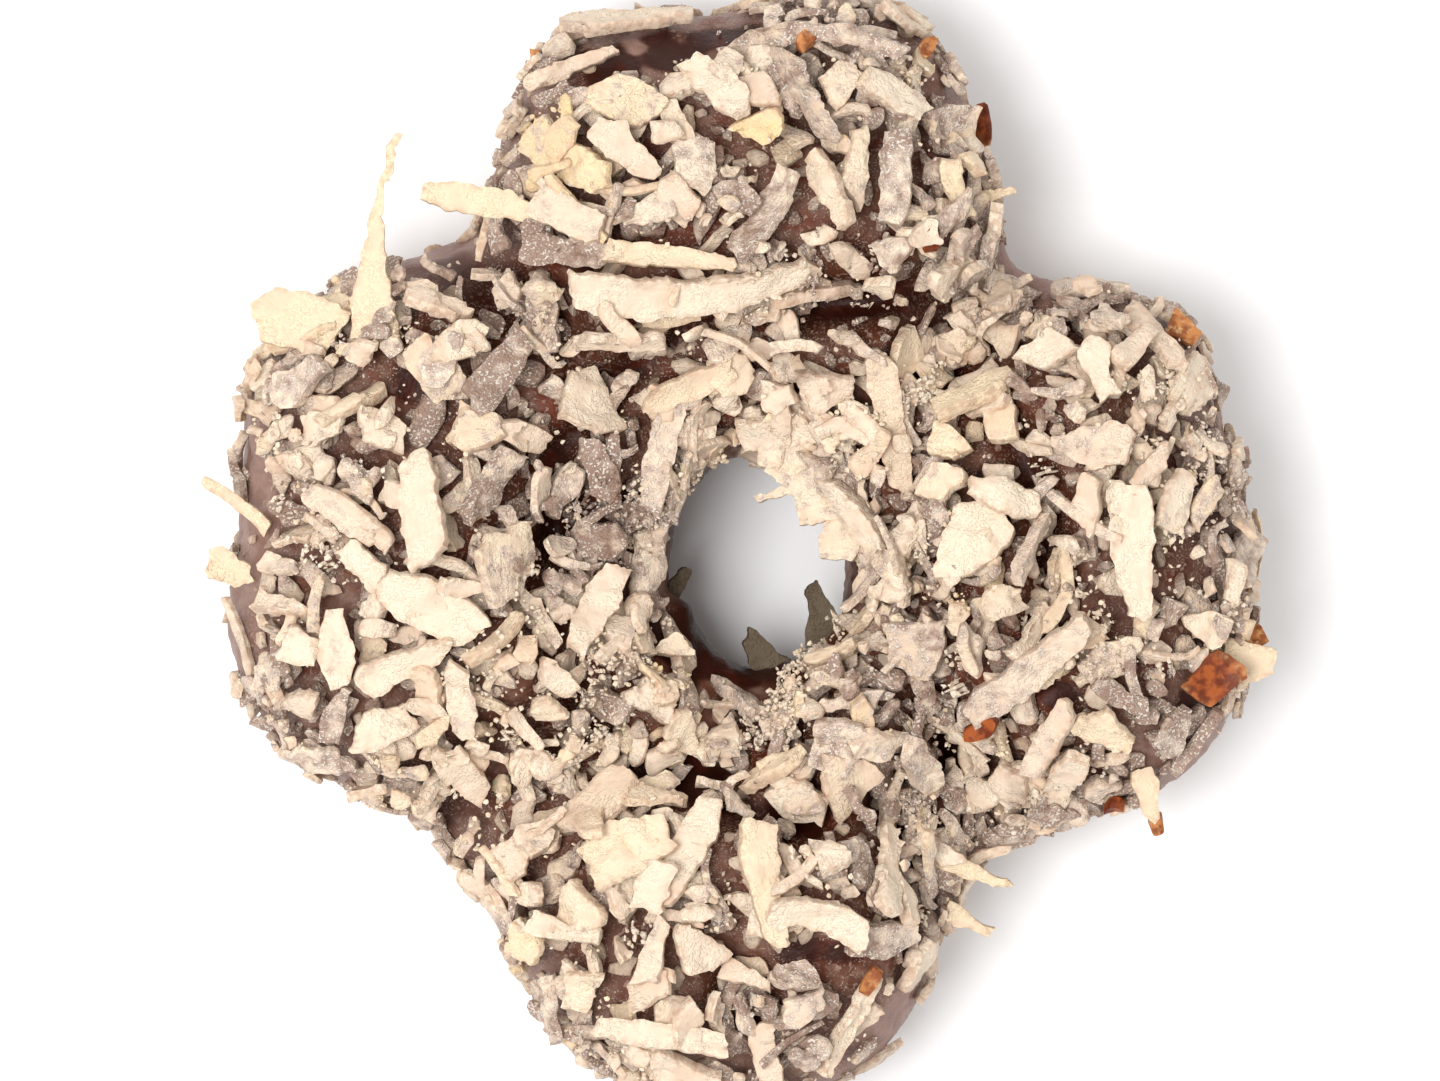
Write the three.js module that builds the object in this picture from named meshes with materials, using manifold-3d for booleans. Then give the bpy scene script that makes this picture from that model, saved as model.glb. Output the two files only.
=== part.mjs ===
// An old-fashioned ring doughnut: four puffed lobes round a raised inner ring, split by the frying
// and covered with torn pieces of coconut that the cocoa glaze holds on. One solid, in millimetres,
// +Z up. It is shaped about the middle of its hole and then moved, so that its origin is under the
// middle of its outline, on the surface that it rests on.
import * as THREE from 'three';
import { mergeVertices } from 'three/addons/utils/BufferGeometryUtils.js';
import Module from 'manifold-3d';

const wasm = await Module();
wasm.setup();

// Outline: each lobe's direction from the hole in degrees, its reach, half its width and how square
// it is, with a small knob of dough between the left and bottom lobes
const lobes = [
  { name: 'right', direction: 4, reach: 39.6, halfWidth: 22.6, squareness: 4.1 },
  { name: 'top', direction: 92, reach: 46, halfWidth: 20.8, squareness: 4.6 },
  { name: 'left', direction: 172, reach: 42.8, halfWidth: 23.8, squareness: 3.7 },
  { name: 'knob', direction: 224, reach: 33.6, halfWidth: 9, squareness: 2.5 },
  { name: 'bottom', direction: 265, reach: 43.6, halfWidth: 21, squareness: 2.6 },
];
const lobeMerging = 12;
const holeHalfWidth = 7.4;
const holeHalfLength = 9.6;
const outlineWaviness = 0.4;

// Heights: the widest level, and how far the crown stands over it at the ring, lobes and notches
const widestLevel = 11.5;
const ringRise = 11.6;
const lobeRise = 14;
const notchRise = 6.5;
const notchReach = 31;
const fullLobeReach = 40;
const ringEdge = 14;
const lobeStart = 22;
const crownFullness = 0.72;
const baseDrop = 13;
const baseFullness = 0.7;
const crownWaviness = 0.6;

// The split between ring and lobes: its radius, how far it wanders, its width and depth
const splitRadius = 20.5;
const splitWander = 3;
const splitDirection = 10;
const splitWidth = 1.7;
const splitDepth = 3;

// Deep folds where the dough tore: middle, heading in degrees, half length, half width and depth
const folds = [
  { x: 8.5, y: 21.8, heading: 5, length: 6.5, width: 1.8, depth: 4.2 },
  { x: -4.3, y: -15.6, heading: -15, length: 3.6, width: 2, depth: 4 },
  { x: 3.5, y: -19.3, heading: 60, length: 2.6, width: 1.9, depth: 4 },
  { x: -1.2, y: -34.2, heading: -30, length: 2.8, width: 2, depth: 3.5 },
  { x: 16.7, y: -16.4, heading: -70, length: 6, width: 1.7, depth: 3.8 },
  { x: -16.2, y: 4.1, heading: -80, length: 6.5, width: 1.8, depth: 3 },
  { x: -22.7, y: 23, heading: -25, length: 8, width: 3.8, depth: 2.6 },
  { x: -24.8, y: -19.4, heading: 65, length: 3.5, width: 2.4, depth: 2.4 },
];

// Facets of the body: steps round the ring, and rows over its top and under its base
const stepsRound = 72;
const rowsOnTop = 14;
const rowsUnder = 5;

// The coconut: its thickness, how deep it sits in the glaze, and how far it bends to the dough
const coconutThickness = 1.5;
const setInGlaze = 0.55;
const conformity = 0.75;
const stepsAlongPiece = 3;
const endTaper = 0.35;
const lowestPiece = 0.4;

// Large torn pieces lying on each lobe. Each row is the middle's x and y from the hole's middle,
// the heading in degrees, the length, the width, and the angle that the piece curls through.
const topPieces = [
  [-10.5, 45, 12, 11, 3.5, 0],
  [-15, 40.5, 25, 8, 1.6, 0],
  [4, 43, -8, 15.5, 2, -70],
  [-3.5, 39, -50, 7.5, 2.5, 0],
  [-10.5, 37.5, -20, 7, 3.5, 0],
  [-10.5, 33.5, -45, 7.5, 3.5, 0],
  [-15.5, 33, -30, 10, 4.5, 0],
  [4, 38, -65, 9, 2.5, 0],
  [5.5, 30, -65, 7, 3, 0],
  [11, 31.5, 85, 8.5, 2.4, 0],
  [0.5, 28.5, 55, 8, 2.6, 0],
  [16.5, 37, 20, 5.5, 4, 0],
  [19, 26.5, -75, 6.5, 2.5, 0],
];
const ringPieces = [
  [-7, 25, -5, 11, 1.8, 0],
  [-4.5, 21.3, 3, 22, 3.6, 42],
  [-12.5, 18, 0, 8, 3, 0],
  [4, 18, 30, 8, 2.8, 0],
  [-5.5, 14.5, 20, 8, 2, 0],
  [-8, 9.5, -100, 10.5, 2.5, 0],
  [10.5, 11.5, -80, 12.5, 2.6, 0],
  [7, 4.8, -45, 8, 2.3, 0],
  [16, 2.5, 35, 7.5, 4, 0],
  [-13, -3.5, 60, 8.5, 2.1, 0],
  [0, -16, 20, 6.2, 2.5, 0],
];
const leftPieces = [
  [-37, 20.5, -5, 8.5, 4.4, 0],
  [-37, 15.4, 30, 6, 3.4, 0],
  [-20, 17, 50, 9, 3.6, 0],
  [-33, 4.5, -30, 8.6, 2.1, 0],
  [-27, 4.8, -80, 9.5, 2.9, 0],
  [-21, 6.5, 55, 7, 2.9, 0],
  [-19.5, 1, 90, 7, 5, 0],
  [-26, -3, -30, 9.5, 4.1, 0],
  [-28.5, -7.6, 22, 8.6, 2.9, 0],
  [-33.7, -6, -85, 6.2, 2.1, 0],
  [-23.5, -10.7, -90, 7, 2, 0],
  [-30.3, -13.2, 15, 6, 3.4, 0],
  [-35, -15.4, 5, 5.6, 2.2, 0],
];
const rightPieces = [
  [16.8, 15, 30, 7.4, 2.3, 0],
  [27.3, 10, 5, 7.8, 2.9, 0],
  [22.2, 6, -25, 6.2, 2.3, 0],
  [30, 1.2, -85, 12.4, 3.8, 0],
  [19.5, 1.9, 58, 6.2, 1.7, 0],
  [19, -2.5, 0, 5, 3.4, 0],
  [17.6, -8, 50, 12.4, 3.4, 0],
  [28.2, -7.4, 20, 5.8, 2.5, 0],
  [29.2, -10.2, -30, 6.2, 2, 30],
  [36.8, -5, 20, 4.4, 3.4, 0],
  [35.5, -14, 70, 7, 1.7, 0],
  [28, -13.1, -45, 5.8, 3.6, 0],
];
const bottomPieces = [
  [-13, -18.5, 35, 7.5, 3.6, 0],
  [-10, -21.4, 40, 8, 4.2, 0],
  [-4.7, -20.1, 60, 10.6, 3, 0],
  [0.6, -25, -80, 10.6, 3.5, 40],
  [4.8, -27.7, -15, 9, 2.2, -50],
  [10.8, -24, 55, 9, 3, 0],
  [8.5, -15.6, -20, 5, 4, 0],
  [18.7, -16, 10, 4.4, 4, 0],
  [13.1, -16.4, -50, 6.2, 2.3, 0],
  [23, -14.4, 65, 7.4, 1.6, 0],
  [24.5, -17, 75, 7.4, 2, 0],
  [-8, -25.4, 30, 5, 4, 0],
  [-8.4, -30, 75, 6.5, 2.4, 0],
  [-4.6, -30, 80, 5, 4.4, 0],
  [7.5, -36.3, 70, 10, 1.5, 0],
  [-8, -38.2, -12, 11, 1.6, -20],
  [13.5, -32, 80, 5, 3.6, 0],
];

// Slivers that stand out past the edge, straight and level
const sliverPieces = [
  [-30.5, 27, 95, 15, 1.8, 0],
  [-23, 30, -5, 9, 2.2, 0],
  [17.6, -24.5, -18, 7.4, 2, 0],
  [17.2, -28.6, -22, 4.6, 1.7, 0],
  [32.4, -19, 50, 4.6, 2.1, 0],
];

// Smaller pieces thrown over the rest: how many, their sizes from first to last, and the band of
// the section that they fall on, in degrees from the outer edge over the crown to the hole
const thrownPieces = 50;
const thrownTries = 6000;
const thrownLength = [7.5, 4.4];
const thrownWidth = [2.7, 1.6];
const thrownSpacing = 0.62;
const thrownBand = [-22, 168];

const degrees = THREE.MathUtils.degToRad;

// One number after another from a fixed seed, always the same ones
let seed = 20817;
function draw(low, high) {
  seed = (seed * 16807) % 2147483647;
  return low + (high - low) * seed / 2147483647;
}

// How far the outline reaches in a direction: the lobes' rounded squares, merged into one curve
function outlineRadius(theta) {
  let sum = 0;
  for (const lobe of lobes) {
    const along = Math.cos(theta - degrees(lobe.direction));
    const across = Math.abs(Math.sin(theta - degrees(lobe.direction)));
    if (along > 0) {
      const power = lobe.squareness;
      const inside = (along / lobe.reach) ** power + (across / lobe.halfWidth) ** power;
      sum += inside ** (-lobeMerging / power);
    }
  }
  const wave = Math.sin(9 * theta + 1.2) + 0.7 * Math.sin(14 * theta + 0.4);
  return sum ** (1 / lobeMerging) + outlineWaviness * wave;
}

function holeRadius(theta) {
  const across = Math.cos(theta) / holeHalfWidth;
  const along = Math.sin(theta) / holeHalfLength;
  return 1 / Math.hypot(across, along);
}

// How far the crown stands over the widest level: lower in the notches, higher on the lobes
function crownRise(radius, theta) {
  const lobeShare = THREE.MathUtils.smoothstep(outlineRadius(theta), notchReach, fullLobeReach);
  const outerRise = THREE.MathUtils.lerp(notchRise, lobeRise, lobeShare);
  const outward = THREE.MathUtils.smoothstep(radius, ringEdge, lobeStart);
  return THREE.MathUtils.lerp(ringRise, outerRise, outward);
}

// How far the splits and folds cut down into the crown
function creaseDepth(radius, theta) {
  const splitAt = splitRadius + splitWander * Math.cos(theta - degrees(splitDirection));
  const ragged = 0.65 + 0.35 * Math.sin(3 * theta + 1);
  let depth = splitDepth * ragged * Math.exp(-(((radius - splitAt) / splitWidth) ** 2));
  for (const fold of folds) {
    const dx = radius * Math.cos(theta) - fold.x;
    const dy = radius * Math.sin(theta) - fold.y;
    const turn = degrees(fold.heading);
    const along = (dx * Math.cos(turn) + dy * Math.sin(turn)) / fold.length;
    const across = (dy * Math.cos(turn) - dx * Math.sin(turn)) / fold.width;
    depth += fold.depth * Math.exp(-(along ** 2) - across ** 2);
  }
  return depth;
}

// The section across the ring in a direction: its middle and half its width
function ringSection(theta) {
  const inner = holeRadius(theta);
  const outer = outlineRadius(theta);
  return { middle: (inner + outer) / 2, half: (outer - inner) / 2 };
}

// A point of the skin: theta goes round the ring, phi from the outer edge over the crown
function skinPoint(theta, phi) {
  const { middle, half } = ringSection(theta);
  const radius = middle + half * Math.cos(phi);
  const steepness = Math.abs(Math.sin(phi));
  let z = widestLevel;
  if (Math.sin(phi) > 0) {
    const waves = Math.sin(0.45 * radius + 5 * theta) + Math.sin(0.31 * radius - 7 * theta + 2);
    z += crownRise(radius, theta) * steepness ** crownFullness;
    z += (crownWaviness * waves - creaseDepth(radius, theta)) * steepness;
  } else {
    z = Math.max(0, z - baseDrop * steepness ** baseFullness);
  }
  return new THREE.Vector3(radius * Math.cos(theta), radius * Math.sin(theta), z);
}

function skinNormal(theta, phi) {
  const step = 0.01;
  const round = skinPoint(theta + step, phi).sub(skinPoint(theta - step, phi));
  const over = skinPoint(theta, phi + step).sub(skinPoint(theta, phi - step));
  return round.cross(over).normalize();
}

// Where on the skin a point nearby belongs
function nearestOnSkin(point) {
  const theta = Math.atan2(point.y, point.x);
  const { middle, half } = ringSection(theta);
  const radius = Math.hypot(point.x, point.y);
  const height = point.z - widestLevel;
  const rise = height > 0 ? crownRise(radius, theta) : baseDrop;
  const fullness = height > 0 ? crownFullness : baseFullness;
  const level = Math.sign(height) * Math.abs(height / rise) ** (1 / fullness);
  return [theta, Math.atan2(level, (radius - middle) / half)];
}

// Where on the crown a place seen from above lies
function crownAt(x, y) {
  const theta = Math.atan2(y, x);
  const { middle, half } = ringSection(theta);
  const across = THREE.MathUtils.clamp((Math.hypot(x, y) - middle) / half, -0.98, 0.98);
  return [theta, Math.acos(across)];
}

// A closed geometry as a solid
function solidOf(geometry) {
  geometry.deleteAttribute('normal');
  geometry.deleteAttribute('uv');
  const merged = mergeVertices(geometry, 1e-4);
  const mesh = new wasm.Mesh({
    numProp: 3,
    vertProperties: new Float32Array(merged.attributes.position.array),
    triVerts: new Uint32Array(merged.index.array),
  });
  return new wasm.Manifold(mesh);
}

// The fried dough under its glaze: a torus whose every point is moved onto the skin
function doughSolid() {
  const rows = rowsOnTop + rowsUnder;
  const geometry = new THREE.TorusGeometry(30, 10, rows, stepsRound);
  const position = geometry.attributes.position;
  for (let row = 0; row <= rows; row++) {
    const onTop = Math.min(row, rowsOnTop) / rowsOnTop;
    const under = Math.max(row - rowsOnTop, 0) / rowsUnder;
    const phi = Math.PI * (onTop + under);
    for (let step = 0; step <= stepsRound; step++) {
      const theta = 2 * Math.PI * (step % stepsRound) / stepsRound;
      const point = row === rows ? skinPoint(theta, 0) : skinPoint(theta, phi);
      position.setXYZ(row * (stepsRound + 1) + step, point.x, point.y, point.z);
    }
  }
  return solidOf(geometry);
}

// One torn piece of coconut, bent over the skin, or held straight where it stands out
function coconutSolid(piece) {
  const { theta, phi, heading, slope = 0, length, width, curl = 0, conform = conformity } = piece;
  const middle = piece.middle ?? skinPoint(theta, phi);
  const normal = piece.middle ? new THREE.Vector3(0, 0, 1) : skinNormal(theta, phi);
  const forward = new THREE.Vector3(Math.cos(heading), Math.sin(heading), slope);
  forward.addScaledVector(normal, -forward.dot(normal)).normalize();
  const sideways = normal.clone().cross(forward);
  const geometry = new THREE.BoxGeometry(length, width, coconutThickness, stepsAlongPiece, 1, 1);
  const position = geometry.attributes.position;
  for (let i = 0; i < position.count; i++) {
    const along = position.getX(i);
    const taper = 1 - endTaper * Math.abs(2 * along / length) ** 3;
    const across = position.getY(i) * taper;
    const turn = curl * along / length;
    const lift = position.getZ(i) + coconutThickness / 2 - setInGlaze;
    const centreX = curl === 0 ? along : Math.sin(turn) * length / curl;
    const centreY = curl === 0 ? 0 : (1 - Math.cos(turn)) * length / curl;
    const flat = middle.clone();
    flat.addScaledVector(forward, centreX - across * Math.sin(turn));
    flat.addScaledVector(sideways, centreY + across * Math.cos(turn));
    const [nearTheta, nearPhi] = nearestOnSkin(flat);
    const bent = skinPoint(nearTheta, nearPhi);
    bent.addScaledVector(skinNormal(nearTheta, nearPhi), lift);
    flat.addScaledVector(normal, lift);
    const point = flat.lerp(bent, conform);
    position.setXYZ(i, point.x, point.y, Math.max(point.z, lowestPiece));
  }
  return solidOf(geometry);
}

// The named pieces, each on the crown below the place where it is seen
function placedPieces() {
  const rows = [topPieces, ringPieces, leftPieces, rightPieces, bottomPieces].flat();
  return rows.map(([x, y, heading, length, width, curl]) => {
    const [theta, phi] = crownAt(x, y);
    return { theta, phi, heading: degrees(heading), length, width, curl: degrees(curl) };
  });
}

// The slivers, level and straight, each at the height of the skin that it leaves
function standingSlivers() {
  return sliverPieces.map(([x, y, heading, length, width, curl]) => {
    const [theta, phi] = crownAt(x, y);
    const middle = skinPoint(theta, phi).setX(x).setY(y);
    return { middle, heading: degrees(heading), length, width, curl: degrees(curl), conform: 0 };
  });
}

// Pieces thrown at random, the largest first, none too near another
function thrownOver(taken) {
  const spots = taken.map((piece) => ({ at: piece.middle ?? skinPoint(piece.theta, piece.phi), ...piece }));
  const thrown = [];
  for (let tries = 0; tries < thrownTries && thrown.length < thrownPieces; tries++) {
    const share = thrown.length / thrownPieces;
    const length = THREE.MathUtils.lerp(...thrownLength, share) * draw(0.85, 1.15);
    const width = THREE.MathUtils.lerp(...thrownWidth, share) * draw(0.8, 1.2);
    const theta = draw(-Math.PI, Math.PI);
    const phi = degrees(draw(...thrownBand));
    const heading = draw(0, 2 * Math.PI);
    const slope = draw(-1, 1);
    const at = skinPoint(theta, phi);
    const clear = spots.every((spot) => spot.at.distanceTo(at) > thrownSpacing * (spot.length + length) / 2);
    if (clear) {
      const piece = { theta, phi, heading, slope, length, width };
      thrown.push(piece);
      spots.push({ at, ...piece });
    }
  }
  return thrown;
}

// The dough and every piece joined, without any scrap left loose or any hollow that was sealed
function doughnutSolid() {
  const placed = [...placedPieces(), ...standingSlivers()];
  const pieces = [...placed, ...thrownOver(placed)];
  const whole = pieces.map(coconutSolid).reduce((joined, piece) => joined.add(piece), doughSolid());
  const parts = whole.simplify(0.1).decompose();
  return parts.reduce((largest, part) => (part.volume() > largest.volume() ? part : largest));
}

// A solid's triangles as a geometry whose origin is under the middle of its box
function standingGeometry(solid) {
  const { vertProperties, triVerts } = solid.getMesh();
  const geometry = new THREE.BufferGeometry();
  geometry.setAttribute('position', new THREE.BufferAttribute(vertProperties, 3));
  geometry.setIndex(new THREE.BufferAttribute(triVerts, 1));
  geometry.computeBoundingBox();
  const { min, max } = geometry.boundingBox;
  geometry.translate(-(min.x + max.x) / 2, -(min.y + max.y) / 2, -min.z);
  geometry.computeVertexNormals();
  return geometry;
}

const coconutOverGlaze = new THREE.MeshStandardMaterial({ color: 0xe8d5bd, roughness: 0.75, metalness: 0 });

const doughnut = new THREE.Mesh(standingGeometry(doughnutSolid()), coconutOverGlaze);
doughnut.name = 'doughnut';

const group = new THREE.Group();
group.add(doughnut);

export default group;
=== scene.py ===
import math
import bmesh
import bpy
import numpy as np
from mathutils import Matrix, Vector, noise


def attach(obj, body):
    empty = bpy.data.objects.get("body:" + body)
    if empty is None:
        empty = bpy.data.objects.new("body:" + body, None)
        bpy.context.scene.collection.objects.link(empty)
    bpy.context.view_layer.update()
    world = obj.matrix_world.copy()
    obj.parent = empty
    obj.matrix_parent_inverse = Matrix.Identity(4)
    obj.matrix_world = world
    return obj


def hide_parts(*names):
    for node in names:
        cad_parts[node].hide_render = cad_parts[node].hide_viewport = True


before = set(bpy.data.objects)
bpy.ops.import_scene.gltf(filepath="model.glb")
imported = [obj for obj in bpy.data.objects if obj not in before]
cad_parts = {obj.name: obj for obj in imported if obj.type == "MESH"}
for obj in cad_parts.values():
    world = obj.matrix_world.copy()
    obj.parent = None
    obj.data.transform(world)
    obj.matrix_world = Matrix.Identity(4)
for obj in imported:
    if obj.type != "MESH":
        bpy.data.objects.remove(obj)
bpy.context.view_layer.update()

# The fried dough. One ring of cake dough that burst into four lobes round a raised inner ring as it
# fried, then was dipped in cocoa glaze. Its form is the solid's own, worked out in millimetres from
# the middle of the hole, with the small lumps of the crumb added.
mm = 0.001
hole_middle = (1.45, -1.70, 0.0)
lobes = [
    # direction in degrees, reach, half width, squareness
    (4, 39.6, 22.6, 4.1),
    (92, 46.0, 20.8, 4.6),
    (172, 42.8, 23.8, 3.7),
    (224, 33.6, 9.0, 2.5),
    (265, 43.6, 21.0, 2.6),
]
lobe_merging = 12
hole_half_width, hole_half_length = 7.4, 9.6
outline_waviness = 0.4
widest_level = 11.5
ring_rise, lobe_rise, notch_rise = 11.6, 14.0, 6.5
notch_reach, full_lobe_reach = 31.0, 40.0
ring_edge, lobe_start = 14.0, 22.0
crown_fullness, crown_waviness = 0.72, 0.6
base_drop, base_fullness = 13.0, 0.7
split_radius, split_wander, split_direction = 20.5, 3.0, 10
split_width, split_depth = 1.7, 3.0
folds = [
    # x, y, heading in degrees, half length, half width, depth
    (8.5, 21.8, 5, 6.5, 1.8, 4.2),
    (-4.3, -15.6, -15, 3.6, 2.0, 4.0),
    (3.5, -19.3, 60, 2.6, 1.9, 4.0),
    (-1.2, -34.2, -30, 2.8, 2.0, 3.5),
    (16.7, -16.4, -70, 6.0, 1.7, 3.8),
    (-16.2, 4.1, -80, 6.5, 1.8, 3.0),
    (-22.7, 23.0, -25, 8.0, 3.8, 2.6),
    (-24.8, -19.4, 65, 3.5, 2.4, 2.4),
]
pools = [
    # x, y, half width, half height of deep dark glaze; the two on the hole's lower wall are also
    # painted shade
    (-11.6, 41.0, 3.2, 2.2),
    (-7.5, 41.9, 3.4, 2.2),
    (-3.0, 42.9, 4.4, 2.0),
    (-5.5, -6.0, 4.0, 3.6),
    (0.5, -8.6, 5.0, 2.2),
    (-13.0, 1.5, 2.5, 4.0),
    (-14.0, 25.5, 3.5, 1.6),
    (-28.0, 15.0, 1.8, 2.0),
    (3.2, -19.6, 2.2, 1.8),
    (-1.0, -35.0, 1.8, 1.6),
    (6.0, -30.5, 4.0, 1.4),
    (18.4, 6.5, 1.3, 1.8),
    (23.6, -9.6, 1.8, 1.5),
    (35.0, -10.3, 2.0, 1.6),
    (36.8, 11.6, 1.6, 1.4),
    (17.0, -15.0, 1.2, 2.6),
]
pool_wander = 0.8
ledge_reach, ledge_direction, ledge_turn = 1.5, -112, 193
ledge_start, ledge_full = math.cos(math.radians(58)), 0.8
dough_steps_round, dough_steps_across = 560, 132
lump_sizes = [(3.4, 0.34), (1.3, 0.2), (0.5, 0.08)]
underside_level, underside_roughness = 0.02, 0.6


def smoothstep(value, low, high):
    share = np.clip((value - low) / (high - low), 0, 1)
    return share * share * (3 - 2 * share)


def outline_radius(theta):
    total = np.zeros(np.shape(theta))
    for direction, reach, half_width, squareness in lobes:
        along = np.cos(theta - math.radians(direction))
        across = np.abs(np.sin(theta - math.radians(direction)))
        inside = (np.maximum(along, 1e-6) / reach) ** squareness + (across / half_width) ** squareness
        total += np.where(along > 0, inside ** (-lobe_merging / squareness), 0)
    wave = np.sin(9 * theta + 1.2) + 0.7 * np.sin(14 * theta + 0.4)
    return total ** (1 / lobe_merging) + outline_waviness * wave


def ring_section(theta):
    inner = 1 / np.hypot(np.cos(theta) / hole_half_width, np.sin(theta) / hole_half_length)
    outer = outline_radius(theta)
    return (inner + outer) / 2, (outer - inner) / 2, outer


def crown_rise(radius, theta, outer):
    outer_rise = notch_rise + (lobe_rise - notch_rise) * smoothstep(outer, notch_reach, full_lobe_reach)
    return ring_rise + (outer_rise - ring_rise) * smoothstep(radius, ring_edge, lobe_start)


def crease_depth(radius, theta):
    split_at = split_radius + split_wander * np.cos(theta - math.radians(split_direction))
    ragged = 0.65 + 0.35 * np.sin(3 * theta + 1)
    depth = split_depth * ragged * np.exp(-(((radius - split_at) / split_width) ** 2))
    x, y = radius * np.cos(theta), radius * np.sin(theta)
    for fold_x, fold_y, heading, length, width, fold_depth in folds:
        cos, sin = math.cos(math.radians(heading)), math.sin(math.radians(heading))
        along = ((x - fold_x) * cos + (y - fold_y) * sin) / length
        across = ((y - fold_y) * cos - (x - fold_x) * sin) / width
        depth = depth + fold_depth * np.exp(-(along ** 2) - across ** 2)
    return depth


def skin(theta, phi):
    """Points of the dough's skin: theta goes round the ring, phi from the outer edge over the crown."""
    middle, half, outer = ring_section(theta)
    radius = middle + half * np.cos(phi)
    steepness = np.abs(np.sin(phi))
    waves = np.sin(0.45 * radius + 5 * theta) + np.sin(0.31 * radius - 7 * theta + 2)
    over = crown_rise(radius, theta, outer) * steepness ** crown_fullness
    over = over + (crown_waviness * waves - crease_depth(radius, theta)) * steepness
    under = np.maximum(-base_drop * steepness ** base_fullness, -widest_level)
    z = widest_level + np.where(np.sin(phi) > 0, over, under)
    return np.stack([radius * np.cos(theta), radius * np.sin(theta), z], axis=-1)


def skin_normal(theta, phi):
    step = 0.01
    around = skin(theta + step, phi) - skin(theta - step, phi)
    over = skin(theta, phi + step) - skin(theta, phi - step)
    across = np.cross(around, over)
    return across / np.maximum(np.linalg.norm(across, axis=-1, keepdims=True), 1e-9)


def ripple(points, size, seed):
    """Smooth random heights from -1 to 1 at each point, with lumps of about this size."""
    shift = Vector((seed * 7.31, seed * 3.17, seed * 5.71))
    return np.array([noise.noise(Vector(point) / size + shift) for point in points])


def paint(piece, name, values):
    """One number at each point of the mesh, for the materials to read."""
    numbers = piece.data.attributes.new(name, "FLOAT", "POINT")
    numbers.data.foreach_set("value", np.asarray(values, np.float32))


def ring_of_dough():
    bm = bmesh.new()
    bmesh.ops.create_circle(bm, segments=dough_steps_across, radius=0.4)
    turn_up = [(1, 0, 0), (0, 0, 1), (0, 1, 0)]
    for vert in bm.verts:
        vert.co = Vector([vert.co.dot(Vector(row)) for row in turn_up]) + Vector((1, 0, 0))
    bmesh.ops.spin(
        bm, geom=bm.edges[:], cent=(0, 0, 0), axis=(0, 0, 1), angle=math.tau,
        steps=dough_steps_round, use_merge=True, use_duplicate=False,
    )
    bmesh.ops.recalc_face_normals(bm, faces=bm.faces[:])
    mesh = bpy.data.meshes.new("dough")
    bm.to_mesh(mesh)
    bm.free()
    return mesh


def dough_piece():
    mesh = ring_of_dough()
    points = np.empty(len(mesh.vertices) * 3, np.float32)
    mesh.vertices.foreach_get("co", points)
    points = points.reshape(-1, 3).astype(float)
    theta = np.arctan2(points[:, 1], points[:, 0])
    phi = np.arctan2(points[:, 2], np.hypot(points[:, 0], points[:, 1]) - 1)
    places, normals = skin(theta, phi), skin_normal(theta, phi)
    lumps = sum(height * ripple(places, size, 3) for size, height in lump_sizes)
    flat_under = places[:, 2] < underside_level
    lumps = np.where(flat_under, np.abs(lumps) * underside_roughness, lumps)
    places = places + normals * lumps[:, None] * np.where(flat_under, -1, 1)[:, None]
    places[:, 2] = np.where(flat_under, np.abs(lumps), np.maximum(places[:, 2], 0.0))
    ledge = smoothstep(np.cos(theta - math.radians(ledge_direction)), ledge_start, ledge_full)
    ledge = ledge * smoothstep(np.cos(phi - math.radians(ledge_turn)), 0.75, 0.97)
    places[:, :2] *= (1 - ledge_reach * ledge / np.hypot(places[:, 0], places[:, 1]))[:, None]
    mesh.vertices.foreach_set("co", ((places + hole_middle) * mm).astype(np.float32).ravel())
    mesh.shade_smooth()
    piece = bpy.data.objects.new("dough", mesh)
    bpy.context.collection.objects.link(piece)
    middle, half, _ = ring_section(theta)
    radius = middle + half * np.cos(phi)
    depth = crease_depth(radius, theta) / 4
    pooled, edge = np.zeros(len(theta)), ripple(places, 2.2, 13)
    x_seen, y_seen = radius * np.cos(theta), radius * np.sin(theta)
    for x, y, half_width, half_height in pools:
        away = np.hypot((x_seen - x) / half_width, (y_seen - y) / half_height)
        pooled = np.maximum(pooled, 1 - smoothstep(away + pool_wander * edge, 0.5, 1.2))
    depth = np.clip(np.maximum(depth, pooled), 0, 1) * smoothstep(np.degrees(phi), 10, 28)
    # crease_and_shade: near-black glaze pooled in the splits, folds and pools, and painted shade on the
    # ledge inside the hole
    paint(piece, "crease_and_shade", np.maximum(depth, ledge))
    paint(piece, "lobe", smoothstep(radius, lobe_start, full_lobe_reach))
    upper_flank = 0.3 + 0.7 * smoothstep(np.degrees(phi), -55, -10)
    paint(piece, "flank", smoothstep(np.cos(phi), 0.55, 0.95) * upper_flank * (1 - pooled))
    paint(piece, "under", smoothstep(-np.sin(phi), 0.25, 0.7))
    return piece, (theta, phi)


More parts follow.
